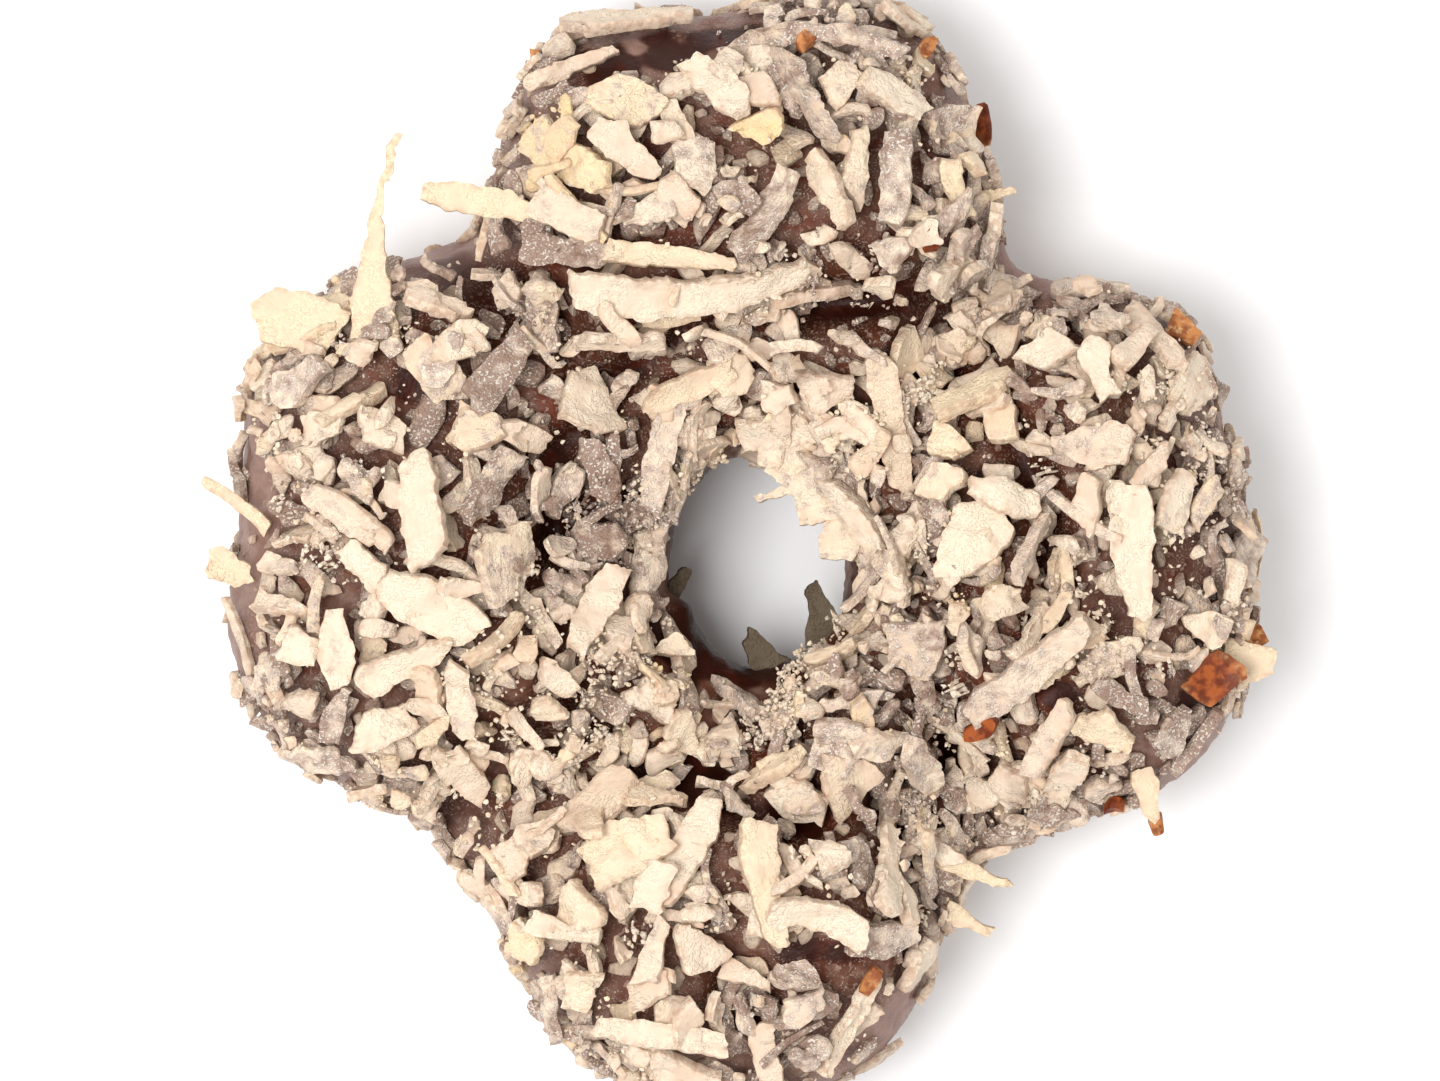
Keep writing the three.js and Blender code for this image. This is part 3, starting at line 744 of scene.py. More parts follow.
film_zones = [
    # x, y, half size, how much dried glaze the flesh there carries: 0 clean, 1 thick
    (-4.5, 21.3, 9, 0.05),
    (-15.5, 33, 5, 0.0),
    (-8.5, 35.5, 4, 0.0),
    (-10.5, 33.5, 3.5, 0.05),
    (-37, 20.5, 5, 0.05),
    (-12.5, 18, 4, 0.0),
    (-15, 12, 4.5, 0.1),
    (-25, 8, 4.5, 0.05),
    (-33, 4.5, 3.5, 0.15),
    (-26, -3, 5, 0.1),
    (-28.5, -7.6, 4, 0.05),
    (-22, -9, 4, 0.1),
    (-10, -21.4, 6, 0.0),
    (-5, -18, 4, 0.15),
    (0.6, -25, 5, 0.0),
    (4.8, -27.7, 4.5, 0.05),
    (13.5, -32, 4, 0.1),
    (18.7, -16, 3.5, 0.0),
    (12, -23, 4, 0.15),
    (-8, -13.5, 4, 0.1),
    (30, 1.2, 6, 0.0),
    (27.3, 10, 5, 0.1),
    (16, 15, 4, 0.1),
    (10.5, 11.5, 5, 0.15),
    (22, 6, 3.5, 0.15),
    (16, 2.5, 4.5, 0.3),
    (5.5, 30, 4, 0.25),
    (4, 38, 5, 0.55),
    (11, 31.5, 4, 0.5),
    (0.5, 28.5, 4, 0.5),
    (17.6, -8, 5, 0.45),
    (19, 26.5, 4, 0.55),
    (-20, 17, 5.5, 0.9),
    (-19.5, 1, 5, 0.8),
    (-38, -12, 5, 0.5),
    (-9, 28, 3, 0.7),
    (-26, 16, 4, 0.6),
    (-12.5, 1, 3.5, 0.85),
    (-14, -11, 4, 0.4),
    (2, -10, 3, 0.2),
    (5, -12, 4, 0.2),
    (-3, -15, 3, 0.25),
    (-7, -9, 4, 0.1),
    (-5, 14, 5, 0.05),
    (3, 15, 5, 0.1),
    (11, 18, 4, 0.2),
    (7, -18, 4, 0.2),
    (-7, 8, 3.5, 0.2),
    (7, -7, 3.5, 0.25),
    (-14, -15, 4, 0.15),
    (15, -20.5, 4, 0.7),
    (36, -8, 4.5, 0.6),
    (37, 5, 5.5, 0.7),
    (22, 14, 4, 0.7),
    (35, 12, 4.5, 0.6),
    (13, 7, 3, 0.5),
    (24, 22, 5, 0.6),
    (9, -31, 4, 0.6),
    (-1, -36, 4, 0.6),
    (-8, -29, 3.5, 0.5),
    (-3, 39, 5, 0.2),
    (9, 37, 6, 0.45),
    (-9, 44.5, 5, 0.3),
    (16, 37, 5, 0.5),
    (4, 43, 6, 0.5),
    (-5.5, 30, 4, 0.35),
    (16, 31, 4, 0.45),
    (-17, 26, 4, 0.9),
    (-33, -3, 4, 0.3),
    (-42, 10, 4, 0.8),
    (34, -4, 4, 0.35),
    (33, -14, 5, 0.75),
    (24, -11, 4, 0.35),
    (26, 1, 3, 0.5),
    (-20, -22, 4, 0.2),
    (-12, -36, 5, 0.3),
    (3, -35, 4, 0.7),
]
frosted_zones = [
    # x, y, half size of the places where crumbs and sugar lie thick
    (-16, 20, 4),
    (-13, 4, 6),
    (-33, 2, 4),
    (-14, -11, 6),
    (-22, -8, 4),
    (14.5, -21, 4),
    (37, 6, 5),
    (32.5, 16, 4),
    (12, 14, 4),
    (3, -13, 5),
    (11, -20, 4),
    (-20, 20, 4),
    (-26, 13, 4),
    (27, -6, 4),
    (22, -18, 4),
    (7, 26, 4),
]
yellow_zones = [
    (-15.5, 33, 5.5),
    (-37, 20.5, 4.5),
    (19, -2.5, 2.5),
    (0, 35, 1.5),
    (-30.3, 25, 4),
    (-18.2, -30.6, 2.5),
    (-6.3, -13, 2.5),
    (8.8, -13, 2),
    (-7, -9, 2.5),
]


def drawn(low, high):
    """The next number of the same run as the solid's own."""
    lot[0] = lot[0] * 16807 % 2147483647
    return low + (high - low) * lot[0] / 2147483647


def thrown_over(taken):
    """Places of the thrown chips, the largest first, none too near another."""
    spots = list(taken)
    thrown = []
    for _ in range(thrown_tries):
        if len(thrown) == thrown_chips:
            break
        share = len(thrown) / thrown_chips
        length = (thrown_length[0] + (thrown_length[1] - thrown_length[0]) * share) * drawn(0.85, 1.15)
        width = (thrown_width[0] + (thrown_width[1] - thrown_width[0]) * share) * drawn(0.8, 1.2)
        theta = drawn(-math.pi, math.pi)
        phi = math.radians(drawn(*thrown_band))
        heading, slope = drawn(0, math.tau), drawn(-1, 1)
        at = skin(theta, phi)
        if all(math.dist(at, spot) > thrown_spacing * (reach + length) / 2 for spot, reach in spots):
            thrown.append((theta, phi, heading, slope, length, width))
            spots.append((at, length))
    return thrown


def cut_off(bm, at, away):
    """Snaps off what lies beyond a point of a flat chip."""
    bmesh.ops.bisect_plane(
        bm, geom=bm.verts[:] + bm.edges[:] + bm.faces[:], dist=1e-4,
        plane_co=(*at, 0), plane_no=(*away, 0), clear_outer=True, clear_inner=False,
    )


def torn_chip(
    length, width, thickness, seed,
    cell=0.4, taper=0.0, pointed=0.0, snapped=0.5, rims=2, torn=1.0,
):
    """One flat torn chip along x, its underside at zero: points, faces and closeness to the rim."""
    chance = np.random.default_rng(seed)
    bm = bmesh.new()
    cells_long = max(3, round(length / cell))
    cells_wide = max(2, round(width / cell))
    bmesh.ops.create_grid(bm, x_segments=cells_long, y_segments=cells_wide, size=1)
    for vert in bm.verts:
        along, across = vert.co.x, vert.co.y
        narrowed = across * width / 2 * (1 - taper * smoothstep(along, -1, 0.5))
        vert.co = (along * length / 2, narrowed * (1 - pointed * along * along), 0)
    for end in (-1, 1):
        slant = chance.uniform(-0.65, 0.65) * (1 - pointed)
        cut_off(bm, (end * (length - width * abs(slant)) / 2, 0), (end, slant))
    for along, across in ((-1, -1), (-1, 1), (1, -1), (1, 1)):
        if chance.random() < snapped:
            back = chance.uniform(0.15, 0.5) * width
            turn = chance.uniform(0.4, 1.1)
            corner = along * (length / 2 - back), across * (width / 2 - back * 0.6)
            cut_off(bm, corner, (along * math.cos(turn), across * math.sin(turn)))
    bmesh.ops.remove_doubles(bm, verts=bm.verts[:], dist=0.3 * cell)
    ragged = torn * min(1, width / 2.2)
    for vert in bm.verts:
        x, y, _ = vert.co
        wander = noise.noise_vector(Vector((x / wander_size, y / wander_size, 1.7 * seed)))
        nibble = noise.noise_vector(Vector((x / nibble_size, y / nibble_size, 2.9 * seed)))
        shift_x = wander_reach * wander.x + nibble_reach * nibble.x
        shift_y = wander_reach * wander.y + nibble_reach * nibble.y
        vert.co = Vector((x, y, 0)) + ragged * Vector((shift_x, shift_y, 0))
    outline = np.array([vert.co[:2] for vert in bm.verts if vert.is_boundary])
    bmesh.ops.solidify(bm, geom=bm.faces[:], thickness=thickness)
    rim = [edge for edge in bm.edges if edge.calc_face_angle(0) > 0.9]
    bmesh.ops.bevel(
        bm, geom=rim, offset=rim_rounding * thickness, offset_type="OFFSET", segments=rims, profile=0.5,
        affect="EDGES", material=-1, clamp_overlap=True,
    )
    bmesh.ops.recalc_face_normals(bm, faces=bm.faces[:])
    points = np.array([vert.co[:] for vert in bm.verts])
    faces = [[vert.index for vert in face.verts] for face in bm.faces]
    bm.free()
    points[:, 2] -= points[:, 2].min()
    wedge = 1 + chance.uniform(-0.7, 0.7) * points[:, 1] / width
    uneven = ragged * (0.2 * ripple(points, 1.5, seed) + 0.1 * ripple(points, 0.6, seed + 7))
    points[:, 2] = np.where(points[:, 2] > thickness / 2, points[:, 2] * wedge + uneven, points[:, 2])
    inwards = np.linalg.norm(points[:, None, :2] - outline[None], axis=2).min(1)
    return points, faces, np.exp(-((inwards / rim_width) ** 2))


def shaped(points, length, width, curl=0.0, arch=0.0, cup=0.0, twist=0.0):
    """A flat chip curled sideways, arched along its length, cupped across it and twisted."""
    x, y, z = points.T
    share = x / length
    z = z + arch * 4 * share ** 2 + cup * (2 * y / width) ** 2
    cos, sin = np.cos(twist * share), np.sin(twist * share)
    y, z = y * cos - z * sin, y * sin + z * cos
    if curl:
        cos, sin = np.cos(curl * share), np.sin(curl * share)
        x, y = sin * (length / curl - y), (1 - cos) * length / curl + y * cos
    return np.stack([x, y, z], axis=1)


def to_mesh(name, points, faces):
    """A mesh object in the frame's metres from points in millimetres about the hole's middle."""
    mesh = bpy.data.meshes.new(name)
    mesh.from_pydata(((np.asarray(points) + hole_middle) * mm).tolist(), [], faces)
    mesh.shade_smooth()
    mesh.set_sharp_from_angle(angle=math.radians(crisp_angle))
    piece = bpy.data.objects.new(name, mesh)
    bpy.context.collection.objects.link(piece)
    return piece


class Chips:
    """Many chips gathered into one mesh, with the numbers that the finish reads at each point."""

    def __init__(self):
        self.points, self.faces, self.notes = [], [], {}
        self.grain = []
        self.count = 0

    def add(self, points, faces, flat, **notes):
        points = np.stack([points[:, 0], points[:, 1], np.maximum(points[:, 2], 0.05)], axis=1)
        self.points.append(points)
        self.faces += [[index + self.count for index in face] for face in faces]
        self.grain.append(flat + np.array([self.count % 977, self.count % 613, 0]))
        self.count += len(points)
        for name, number in notes.items():
            self.notes.setdefault(name, []).append(np.broadcast_to(number, len(points)))

    def piece(self, name):
        piece = to_mesh(name, np.concatenate(self.points), self.faces)
        for note, numbers in self.notes.items():
            paint(piece, note, np.concatenate(numbers))
        grain = piece.data.attributes.new("grain", "FLOAT_VECTOR", "POINT")
        grain.data.foreach_set("vector", (np.concatenate(self.grain) * mm).astype(np.float32).ravel())
        return piece


def zone_share(places, x, y, size):
    """1 in the middle of a zone, falling to 0 at its edge."""
    return 1 - smoothstep(np.hypot(places[:, 0] - x, places[:, 1] - y) / size, 0.5, 1.0)


def most_share(places, zones):
    return np.max([zone_share(places, *zone) for zone in zones], axis=0)


def chip_looks(places, order, glazed=0.0):
    """Tone, film and yellow of each chip, by chance and by where it lies."""
    chance = np.random.default_rng(order).random((3, len(places)))
    tone = np.clip(chance[0] * 1.1 - 0.45, 0, 1)
    film = 0.23 + 1.0 * ripple(places, 9.0, 11) + 1.3 * (chance[1] - 0.5)
    for x, y, size, wanted in film_zones:
        share = 0.85 * zone_share(places, x, y, size)
        film = film + share * (wanted + 0.35 * (chance[1] - 0.5) - film)
    film = np.clip(film + glazed, 0, 1)
    yellow = np.clip(chance[2] * 1.3 - 0.85 + 0.9 * most_share(places, yellow_zones), 0, 1)
    return tone, film, yellow


clean_cream, yellow_cream = (0.765, 0.645, 0.500, 1), (0.76, 0.575, 0.31, 1)
fibre_tan, shaded_cream = (0.64, 0.48, 0.345, 1), (0.60, 0.43, 0.315, 1)
edge_glow_brown, stain_shade_brown = (0.47, 0.285, 0.185, 1), (0.165, 0.085, 0.053, 1)
thin_film, thick_film = (0.58, 0.445, 0.355, 1), (0.27, 0.165, 0.120, 1)
deep_shade, dried_sugar = (0.11, 0.085, 0.048, 1), (0.72, 0.63, 0.54, 1)


def coconut_flesh(piece):
    """Shaved coconut: cream-white, a little clear, greyed in places by dried glaze and sugar."""
    flesh = Finish("coconut_flesh")
    grain = flesh.node("ShaderNodeAttribute", {"attribute_name": "grain"}, output="Vector")
    tone, film = flesh.painted("tone"), flesh.painted("film")
    yellow, wet, rim = flesh.painted("yellow"), flesh.painted("wet"), flesh.painted("rim")
    fibres = flesh.place(0.36, detail=2, vector=grain, stretch=(0.15, 1, 1))
    mottle = flesh.place(1.1, detail=3)
    lumps = flesh.place(0.55, detail=2)
    drift = flesh.place(2.4, detail=2)
    cream = flesh.blend(yellow, clean_cream, yellow_cream)
    cream = flesh.blend(fibres.from_to(0.4, 0.7) * 0.2, cream, fibre_tan)
    shading = (tone * 0.6 + drift.from_to(0.42, 0.7) * 0.45).kept()
    shaded = flesh.blend(shading, cream, shaded_cream)
    # Painted light: a warm brown line along the rims for light that glows through the chips' thin edges
    edge_glowed = flesh.blend(rim * lumps.from_to(0.4, 0.6) * 0.55, shaded, edge_glow_brown)
    coated = (film * 1.35 + mottle * 2.0 - 1.32).kept()
    filmed = flesh.blend(coated.from_to(0.06, 0.6) * 0.85, edge_glowed, thin_film)
    filmed = flesh.blend(coated.from_to(0.4, 0.95) * 0.9, filmed, thick_film)
    # Browned near the glaze: partly glaze soaked into the flesh, partly painted shade low in the heap;
    # past 1 it paints deep_shade
    stain_and_shade_colour = flesh.blend((wet * (0.25 + mottle * 0.9)).kept(), filmed, stain_shade_brown)
    stain_and_shade_colour = flesh.blend((wet - 1).kept(), stain_and_shade_colour, deep_shade)
    sugar = flesh.specks(0.22, 0.49, 0.6) * drift.from_to(0.36, 0.52) * coated.from_to(0.1, 0.6)
    powder = flesh.specks(0.26, 0.46, 0.62) * drift.from_to(0.6, 0.42)
    colour = flesh.blend(sugar * 0.8, stain_and_shade_colour, dried_sugar)
    height = fibres * 0.2 + mottle * 0.35 + lumps * 0.3 + sugar * 0.45 + powder * 0.25
    normal = flesh.node("ShaderNodeBump", Strength=0.9, Distance=0.3 * mm, Height=height)
    flesh.shader.inputs["Subsurface Weight"].default_value = 0.15
    flesh.shader.inputs["Subsurface Radius"].default_value = (1.0, 0.75, 0.5)
    flesh.shader.inputs["Subsurface Scale"].default_value = 0.7 * mm
    flesh.finish(piece, Base_Color=colour, Roughness=0.72 - 0.15 * coated, Normal=normal)


def in_place(chips):
    """The chips of a list, each with its place on the crown and where it is seen from above."""
    for x, y, heading, length, width, curl, *film in chips:
        turn, bow, seen = math.radians(heading), math.radians(curl), np.array([x, y])
        yield *crown_at(x, y), turn, 0.0, length, width, bow, seen, film


def lay_one_by_one(chips, places, order, tilting=0.12, torn=1.0):
    """Chips of chosen sizes and places, each of its own shape."""
    tones, films, yellows = chip_looks(np.array([skin(chip[0], chip[1]) for chip in places]), order)
    for index, (theta, phi, heading, slope, length, width, curl, seen, own_film) in enumerate(places):
        chance = np.random.default_rng(order * 1000 + index)
        thickness = coconut_thickness * chance.uniform(0.7, 1.1)
        flat, faces, rim = torn_chip(
            length * 1.04, width * 1.06, thickness, order * 400 + index,
            taper=chance.uniform(-0.3, 0.5), pointed=chance.uniform(0, 0.5), torn=torn,
        )
        bent = shaped(
            flat, length, width, curl + chance.uniform(-0.3, 0.3), arch=chance.uniform(-0.25, 0.5),
            cup=chance.uniform(-0.1, 0.3), twist=chance.uniform(-0.35, 0.35),
        )
        film = own_film[0] if own_film else films[index]
        film = film + chance.uniform(-0.5, 0.5) * flat[:, 0] / length
        direction = np.array([[math.cos(heading), math.sin(heading), slope]])
        tilt, roll = chance.normal(0, tilting, 2)
        centre = np.hypot(flat[:, 0], flat[:, 1]).argmin()
        aim = seen
        for _ in range(aiming_rounds):
            spot = np.atleast_1d(theta), np.atleast_1d(phi)
            points = lay(bent, *spot, direction, tilt=tilt, roll=roll, sunk=0.05)[0]
            if seen is None:
                break
            aim = aim + (seen - points[centre, :2]) * 0.9
            theta, phi = crown_at(*aim)
        too_far = max(0, overhang(points).max() - farthest_out)
        points[:, :2] -= too_far * unit(points[centre, :2])
        # Browner the nearer the chip lies to the skin: glaze stain, and painted shade low in the heap
        wet = np.clip(0.7 - settle(points, claims=True) * 0.5, 0, 1)
        tone, yellow = tones[index], yellows[index]
        chips.add(points, faces, flat, tone=tone, film=film, yellow=yellow, wet=wet, rim=rim)


def stand_out(
    chips, middle, heading, rise, length, width, seed, taper,
    pointed=0.3, curl=0.2, tone=0.0, film=0.1, torn=1.0,
):
    """One chip that sticks out into the air, broad at its root and thin at its tip."""
    flat, faces, rim = torn_chip(
        length, width, coconut_thickness, seed,
        taper=taper, pointed=pointed, snapped=0.2, torn=torn,
    )
    bent = shaped(flat, length, width, curl=curl, arch=0.4, twist=0.3)
    turn, climb = math.radians(heading), math.radians(rise)
    cos, sin = math.cos(turn), math.sin(turn)
    forward = np.array([cos * math.cos(climb), sin * math.cos(climb), math.sin(climb)])
    side = np.array([-sin, cos, 0])
    up = np.cross(forward, side)
    points = middle + bent[:, :1] * forward + bent[:, 1:2] * side + bent[:, 2:] * up
    near = nearest_on_skin(points)
    lying = points[:, 2] - skin(*near)[:, 2] < 3
    claimed[heap_cells(near[0][lying], near[1][lying])] = True
    # A tone of 1 makes the chip dark olive-brown and, through wet past 1, paints it with deep_shade:
    # painted shade
    chips.add(points, faces, flat, tone=tone, film=film, yellow=0.5 - film, wet=1.8 * tone, rim=rim)


def half_along(heading, length):
    """From a chip's middle to its tip, seen from above."""
    return length / 2 * np.array([math.cos(math.radians(heading)), math.sin(math.radians(heading))])


def stand_slivers(chips, places, seed, torn=1.0):
    for index, (x, y, heading, length, width, rise, taper, pointed, curl) in enumerate(places):
        along = half_along(heading, length)
        root = crown_at(x - along[0], y - along[1])
        level = skin(*root)[2] + min(heap[heap_cells(*root)], highest_root)
        middle = np.array([x, y, level + math.sin(math.radians(rise)) * length / 2])
        size = length, width, seed + index
        stand_out(chips, middle, heading, rise, *size, taper, pointed, curl, torn=torn)


def stand_hole_shards(chips):
    for index, (x, y, root, heading, rise, length, width, taper, dark_olive_and_shade) in enumerate(hole_shards):
        along = half_along(heading, length)
        middle_level = root + math.sin(math.radians(rise)) * length / 2
        middle = np.array([x + along[0], y + along[1], middle_level])
        size, film = (length, width, 320 + index), 0.35 * (1 - dark_olive_and_shade)
        # Shards deep in the hole get painted shade as well as dark olive-brown flesh
        stand_out(chips, middle, heading, rise, *size, taper, tone=dark_olive_and_shade, film=film)


large_chips = Chips()
named_chips = list(in_place(top_chips + ring_chips + left_chips + right_chips + bottom_chips))
spots = [(skin(chip[0], chip[1]), chip[4]) for chip in named_chips]
for x, y, _, length, *_ in slivers:
    spots.append((np.array([x, y, skin(*crown_at(x, y))[2]]), length))
thrown_places = [
    (theta, phi, heading, slope, length, width, 0.0, None, [])
    for theta, phi, heading, slope, length, width in thrown_over(spots)
]

# Flakes, shreds and bits. What the shaving left smaller: flakes of a few millimetres, thin shreds,
# broken bits and a dust of crumbs, each kind thrown in several goes between the large chips.
thrown_at_once = 24
deep_crease = 1.7


def room_for(theta, phi):
    """How likely a piece is to stay where it fell."""
    places = skin(theta, phi)
    middle, half, _ = ring_section(theta)
    radius = middle + half * np.cos(phi)
    keep = np.clip(radius / 44 + 0.1, 0, 1) * smoothstep(np.degrees(phi), *drip_line)
    for x, y, half_width, half_height in bare_zones + pools:
        away = np.hypot((places[:, 0] - x) / half_width, (places[:, 1] - y) / half_height)
        keep = np.where(away < 1, keep * bare_share, keep)
    keep = np.where(crease_depth(radius, theta) > deep_crease, keep * creased_share, keep)
    keep = keep * (0.26 + 0.74 * smoothstep(np.degrees(phi), *flank))
    return np.where(claimed[heap_cells(theta, phi)], keep * claimed_share, keep)


def scatter(
    chips, makes, count, order, spread=(-42, 154), sunk=0.12, bend=0.3, tilting=0.25,
    dusty=0.0, gaps_only=False, lean=steepest_lean, glazed=0.0,
):
    """Throws copies of the makes over the doughnut in small goes, each go on top of the last."""
    chance = np.random.default_rng(order)
    goes = max(1, count // thrown_at_once)
    for go in range(goes):
        flat, faces, bent, rim = makes[(go * 5 + order) % len(makes)]
        number = count // goes
        theta = chance.uniform(-math.pi, math.pi, number)
        phi = np.radians(chance.uniform(*spread, number))
        luck = chance.random(number)
        if dusty:
            places = skin(theta, phi)
            frosted = ripple(places, 4.0, 3) + most_share(places, frosted_zones)
            luck = luck - dusty * (frosted - 0.15) * 2
        kept = luck < room_for(theta, phi)
        if gaps_only or dusty:
            on_top = bool(dusty) & (np.degrees(phi) > flank[1])
            kept &= (heap[heap_cells(theta, phi)] < gap_height) | on_top
        theta, phi = theta[kept], phi[kept]
        number = len(theta)
        if number == 0:
            continue
        turn = chance.uniform(0, math.tau, number)
        heading = np.stack([np.cos(turn), np.sin(turn), chance.uniform(-1, 1, number)], axis=1)
        lively = tilting * (0.25 + 0.75 * smoothstep(np.degrees(phi), *flank))
        points = lay(
            bent, theta, phi, heading, tilt=chance.normal(0, 1, number) * lively,
            roll=chance.normal(0, 1, number) * lively, sunk=sunk, bend=bend, lean=lean,
        )
        held = overhang(points).max(1) < farthest_out
        theta, phi, points = theta[held], phi[held], points[held]
        number = len(theta)
        tones, films, yellows = chip_looks(skin(theta, phi), order * 100 + go, glazed)
        fading = chance.uniform(-0.7, 0.7, number)
        share = flat[:, 0] / np.ptp(flat[:, 0])
        for each in range(number):
            # Browner the nearer the piece lies to the skin: glaze stain, and painted shade low in the
            # heap
            wet = np.clip(0.8 - settle(points[each]) * 0.6, 0, 1)
            film = films[each] + fading[each] * share
            tone, yellow = tones[each], yellows[each]
            chips.add(points[each], faces, flat, tone=tone, film=film, yellow=yellow, wet=wet, rim=rim)


def chip_makes(
    number, lengths, widths, thickness, cell, order, cup=0.2, arch=0.25, curl=0.5, snapped=0.5,
):
    """Several torn chips of one kind, to be thrown over and over."""
    chance = np.random.default_rng(order)
    makes = []
    for make in range(number):
        length, width = chance.uniform(*lengths), chance.uniform(*widths)
        flat, faces, rim = torn_chip(
            length, width, thickness * chance.uniform(0.8, 1.2), order * 50 + make, cell=cell,
            taper=chance.uniform(0, 0.5), pointed=chance.uniform(0, 0.5), snapped=snapped, rims=1,
        )
        bent = shaped(
            flat, length, width, curl=chance.uniform(-curl, curl), arch=chance.uniform(-arch, arch),
            cup=chance.uniform(-cup, cup), twist=chance.uniform(-0.5, 0.5),
        )
        makes.append((flat, faces, bent, rim))
    return makes


def crumb_makes(number, sizes, order, together=1, reach=0.0):
    """Rough grains of twenty faces, alone or some together in a clump of this reach."""
    chance = np.random.default_rng(order)
    makes = []
    for make in range(number):
        clump, clump_faces = [], []
        for grain in range(together):
            bm = bmesh.new()
            bmesh.ops.create_icosphere(bm, subdivisions=1, radius=1)
            points = np.array([vert.co[:] for vert in bm.verts])
            clump_faces += [[vert.index + 12 * grain for vert in face.verts] for face in bm.faces]
            bm.free()
            points *= (1 + 0.7 * ripple(points, 0.8, order * 90 + make * 20 + grain))[:, None]
            points *= chance.uniform(0.5, 1.0, 3) * chance.uniform(*sizes)
            points[:, 2] -= points[:, 2].min()
            away, turn = reach * math.sqrt(chance.random()), chance.uniform(0, math.tau)
            lift = chance.uniform(0, 0.5) * (reach - away)
            clump.append(points + np.array([away * math.cos(turn), away * math.sin(turn), lift]))
        points = np.concatenate(clump)
        makes.append((points, clump_faces, points, np.zeros(len(points))))
    return makes


flakes, small_flakes, shreds, bits, crumbs = Chips(), Chips(), Chips(), Chips(), Chips()
middle_chips, rind_tips = Chips(), Chips()
rind_places = [
    (-17.6, 42.0, 30, 2.0, 1.4, 0),
    (3.9, 43.1, -70, 2.2, 1.4, 0),
    (34.5, 19.7, -50, 3.2, 2.4, 0),
    (17.9, -13, 40, 3.2, 1.2, 40),
    (8.9, -33.3, 70, 2.6, 1.1, 0),
    (29, -19.3, 10, 1.7, 1.2, 0),
    (14.6, 25.9, 80, 1.8, 1.2, 0),
]
flake_shapes = chip_makes(24, (3.0, 5.2), (1.8, 2.9), 0.7, 0.66, 21)
small_flake_shapes = chip_makes(24, (2.0, 3.4), (1.2, 2.1), 0.6, 0.58, 25)
shred_shapes = chip_makes(
    16, (3.2, 7.0), (0.7, 1.3), 0.6, 0.6, 22, cup=0.0, arch=0.7, curl=1.2, snapped=0.3,
)
bit_shapes = chip_makes(24, (1.1, 2.2), (0.8, 1.4), 0.5, 0.5, 23, snapped=0.8)
crumb_shapes = crumb_makes(12, (0.12, 0.3), 24)
clump_shapes = crumb_makes(16, (0.12, 0.32), 26, together=14, reach=0.9)

scatter(bits, bit_shapes, 1900, 31, sunk=0.3, tilting=0.4, glazed=0.3)
scatter(flakes, flake_shapes, 1000, 32, glazed=0.3)
scatter(small_flakes, small_flake_shapes, 1500, 38, glazed=0.25)
scatter(shreds, shred_shapes, 300, 33, glazed=0.15)
lay_one_by_one(large_chips, thrown_places, 5)
lay_one_by_one(middle_chips, list(in_place(middling_chips)), 6)
lay_one_by_one(large_chips, named_chips, 7)
stand_slivers(large_chips, slivers, 300)
stand_hole_shards(large_chips)
lay_one_by_one(rind_tips, list(in_place(rind_places)), 8, tilting=0.3, torn=0.4)
stand_slivers(rind_tips, rind_slivers, 340, torn=0.4)
scatter(flakes, flake_shapes, 500, 34, tilting=0.35)
scatter(small_flakes, small_flake_shapes, 700, 39, tilting=0.35)
scatter(flakes, flake_shapes, 1200, 41, tilting=0.2, gaps_only=True, glazed=0.35)
scatter(small_flakes, small_flake_shapes, 3000, 42, tilting=0.3, gaps_only=True, glazed=0.3)
scatter(shreds, shred_shapes, 260, 35, tilting=0.35)
scatter(bits, bit_shapes, 1500, 36, sunk=0.15, tilting=0.4)
scatter(crumbs, clump_shapes, 800, 40, spread=(12, 158), sunk=0.2, bend=1.0, dusty=0.5, glazed=-0.1)
scatter(
    crumbs, crumb_shapes, 14000, 37, spread=(12, 158), sunk=0.06, bend=0.0, dusty=0.5,
    lean=0.0, tilting=0.0,
)

# The glaze is painted darkest where the pieces crowd round it, as painted shade between them, and grit
# and sugar gather there
crowded = (heap > gap_height).astype(float)
for axis, reach in ((0, 4), (1, 5)):
    crowded = np.mean([np.roll(crowded, step, axis) for step in range(-reach, reach + 1)], axis=0)
paint(dough, "crowd_shade_and_grit", crowded[heap_cells(*dough_angles)])


# The rind tips. A few chips kept the coconut's own thin brown skin, which is tougher than the flesh
# and tears less, orange-brown where it is thin and dark red-brown where it is thick.
dark_rinds = [(36.4, -8.7, 3), (19.2, 36.7, 3), (29, -19.3, 2.5), (14.6, 25.9, 2.5), (17.9, -13, 3)]
orange_rind, brown_rind = (0.50, 0.20, 0.065, 1), (0.24, 0.07, 0.022, 1)
worn_rind = (0.62, 0.38, 0.19, 1)
red_rind, darkest_rind = (0.32, 0.075, 0.016, 1), (0.13, 0.024, 0.007, 1)


def coconut_rind(piece):
    """The coconut's own thin skin, orange-brown and darker where it is thick."""
    rind = Finish("coconut_rind")
    tone = rind.painted("tone")
    streaks = rind.place(0.5, detail=3)
    patches = rind.place(1.1, detail=2)
    colour = rind.blend(patches.from_to(0.4, 0.62), orange_rind, brown_rind)
    colour = rind.blend(streaks.from_to(0.5, 0.75) * (1 - tone), colour, worn_rind)
    dark = rind.painted("dark")
    thick = rind.blend(patches.from_to(0.38, 0.6), red_rind, darkest_rind)
    colour = rind.blend(dark, colour, thick)
    normal = rind.node("ShaderNodeBump", Strength=0.6, Distance=0.2 * mm, Height=streaks)
    rind.shader.inputs["Specular IOR Level"].default_value = 0.2
    rough = 0.5 + 0.2 * streaks - 0.15 * dark
    rind.finish(piece, Base_Color=colour, Roughness=rough, Normal=normal)


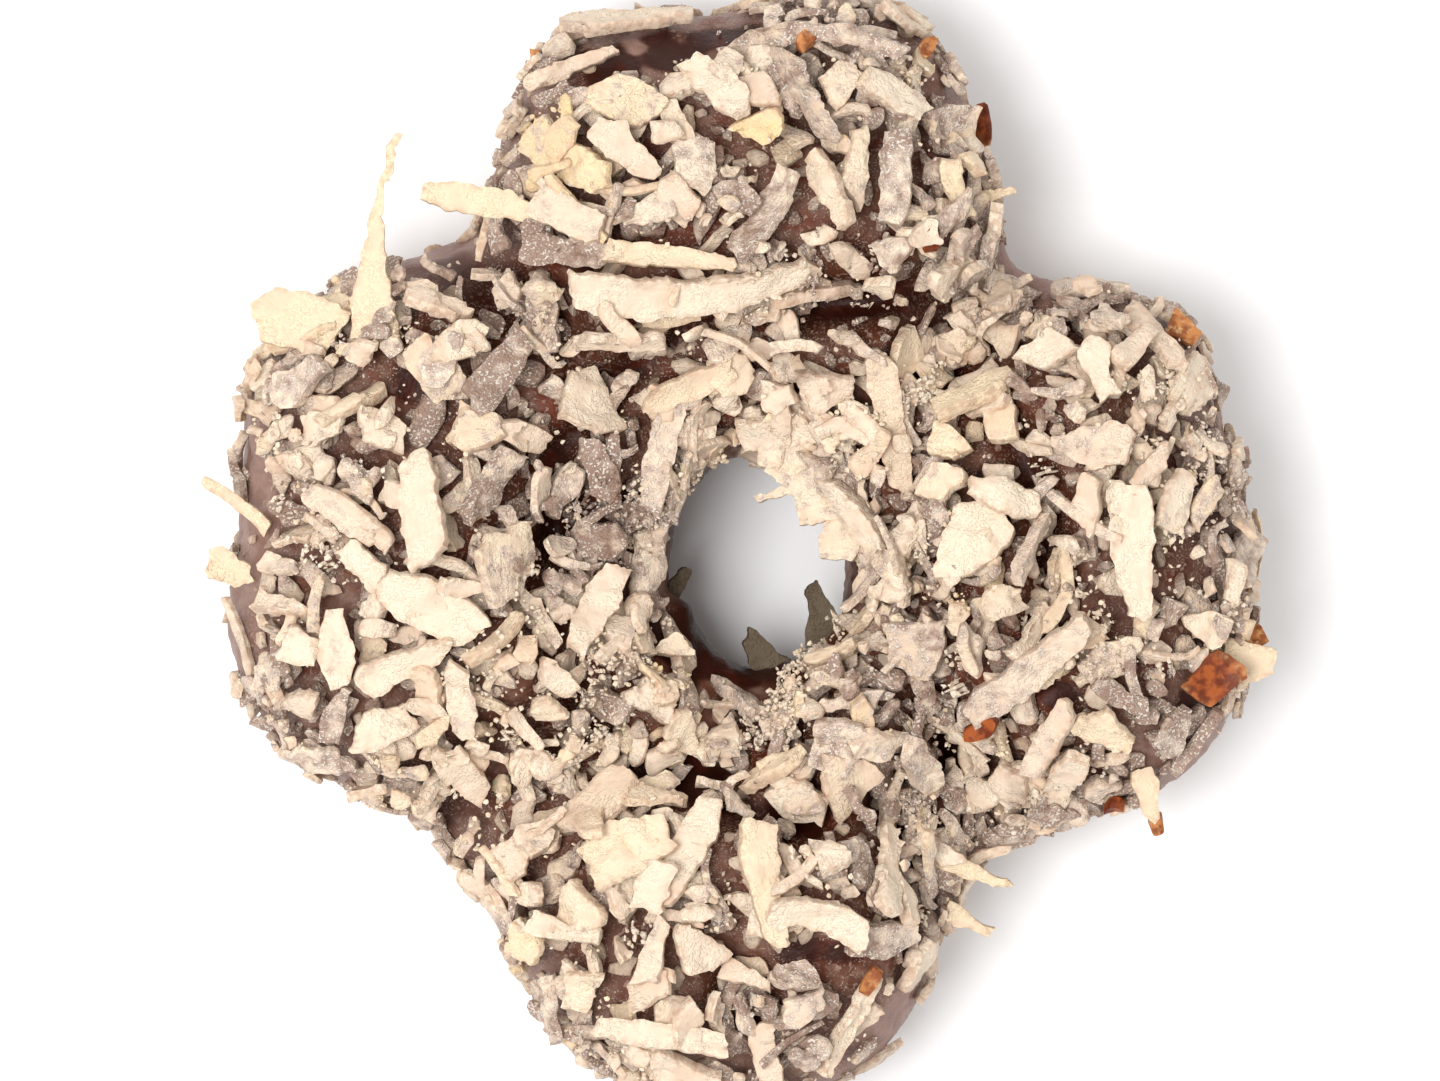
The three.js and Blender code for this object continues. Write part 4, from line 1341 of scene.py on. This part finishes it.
rind_piece = rind_tips.piece("rind_tips")
paint(rind_piece, "dark", most_share(np.concatenate(rind_tips.points), dark_rinds))
coconut_rind(rind_piece)
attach(rind_piece, "root")
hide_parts("doughnut")

# The flesh. The other chips, flakes, shreds, bits and crumbs are all white flesh of the nut, so one
# finish serves them, and each kind is gathered into one piece.
for chips, name, slot in (
    (large_chips, "large_chips", "coconut"),
    (middle_chips, "middle_chips", "coconut"),
    (flakes, "flakes", "coconut"),
    (small_flakes, "small_flakes", "coconut"),
    (shreds, "shreds", "coconut"),
    (bits, "bits", "coconut"),
    (crumbs, "crumbs", "sugar_crumbs"),
):
    flesh_piece = chips.piece(name)
    coconut_flesh(flesh_piece)
    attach(flesh_piece, "root")
    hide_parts("doughnut")

# The floor and the light. A white sheet under a white studio, with one large soft light from the
# left that leaves a pale shadow on the right.
floor_size, sheet_white, sheet_roughness = 3.0, (0.95, 0.95, 0.95, 1), 0.9
sky_white, sky_strength = (1, 1, 1, 1), 0.88
key_distance, key_width, key_power = 0.5, 0.22, 1.95
key_azimuth, key_elevation = math.radians(196), math.radians(74.5)

bpy.ops.mesh.primitive_plane_add(size=floor_size)
floor = bpy.context.object
floor.name = "floor"
white = bpy.data.materials.new("white_sheet")
white.use_nodes = True
sheet = white.node_tree.nodes["Principled BSDF"]
sheet.inputs["Base Color"].default_value = sheet_white
sheet.inputs["Roughness"].default_value = sheet_roughness
floor.data.materials.append(white)

world = bpy.data.worlds.new("studio")
world.use_nodes = True
sky = world.node_tree.nodes["Background"]
sky.inputs["Color"].default_value = sky_white
sky.inputs["Strength"].default_value = sky_strength
bpy.context.scene.world = world

key_data = bpy.data.lights.new("key", "AREA")
key_data.shape = "DISK"
key_data.size = key_width
key_data.energy = key_power
key = bpy.data.objects.new("key", key_data)
key.location = (
    key_distance * math.cos(key_elevation) * math.cos(key_azimuth),
    key_distance * math.cos(key_elevation) * math.sin(key_azimuth),
    key_distance * math.sin(key_elevation),
)
key.rotation_euler = (-key.location).to_track_quat("-Z", "Y").to_euler()
bpy.context.collection.objects.link(key)

# The camera. It looks straight down from well above, so that the lobes keep their true sizes, and
# the frame's width is the photograph's at the level where the dough is widest.
photo_width = 1440
photo_scale = 0.0821
photo_middle = (-3.04, 2.42)
camera_height, sensor_width = 620.0, 36
camera_data = bpy.data.cameras.new("camera")
camera_data.sensor_width = sensor_width
camera_data.lens = sensor_width * (camera_height - widest_level) / (photo_width * photo_scale)
camera_data.clip_start = 0.01
camera = bpy.data.objects.new("camera", camera_data)
camera.location = (
    (photo_middle[0] + hole_middle[0]) * mm,
    (photo_middle[1] + hole_middle[1]) * mm,
    camera_height * mm,
)
bpy.context.collection.objects.link(camera)
bpy.context.scene.camera = camera
bpy.context.scene.view_settings.view_transform = "Standard"
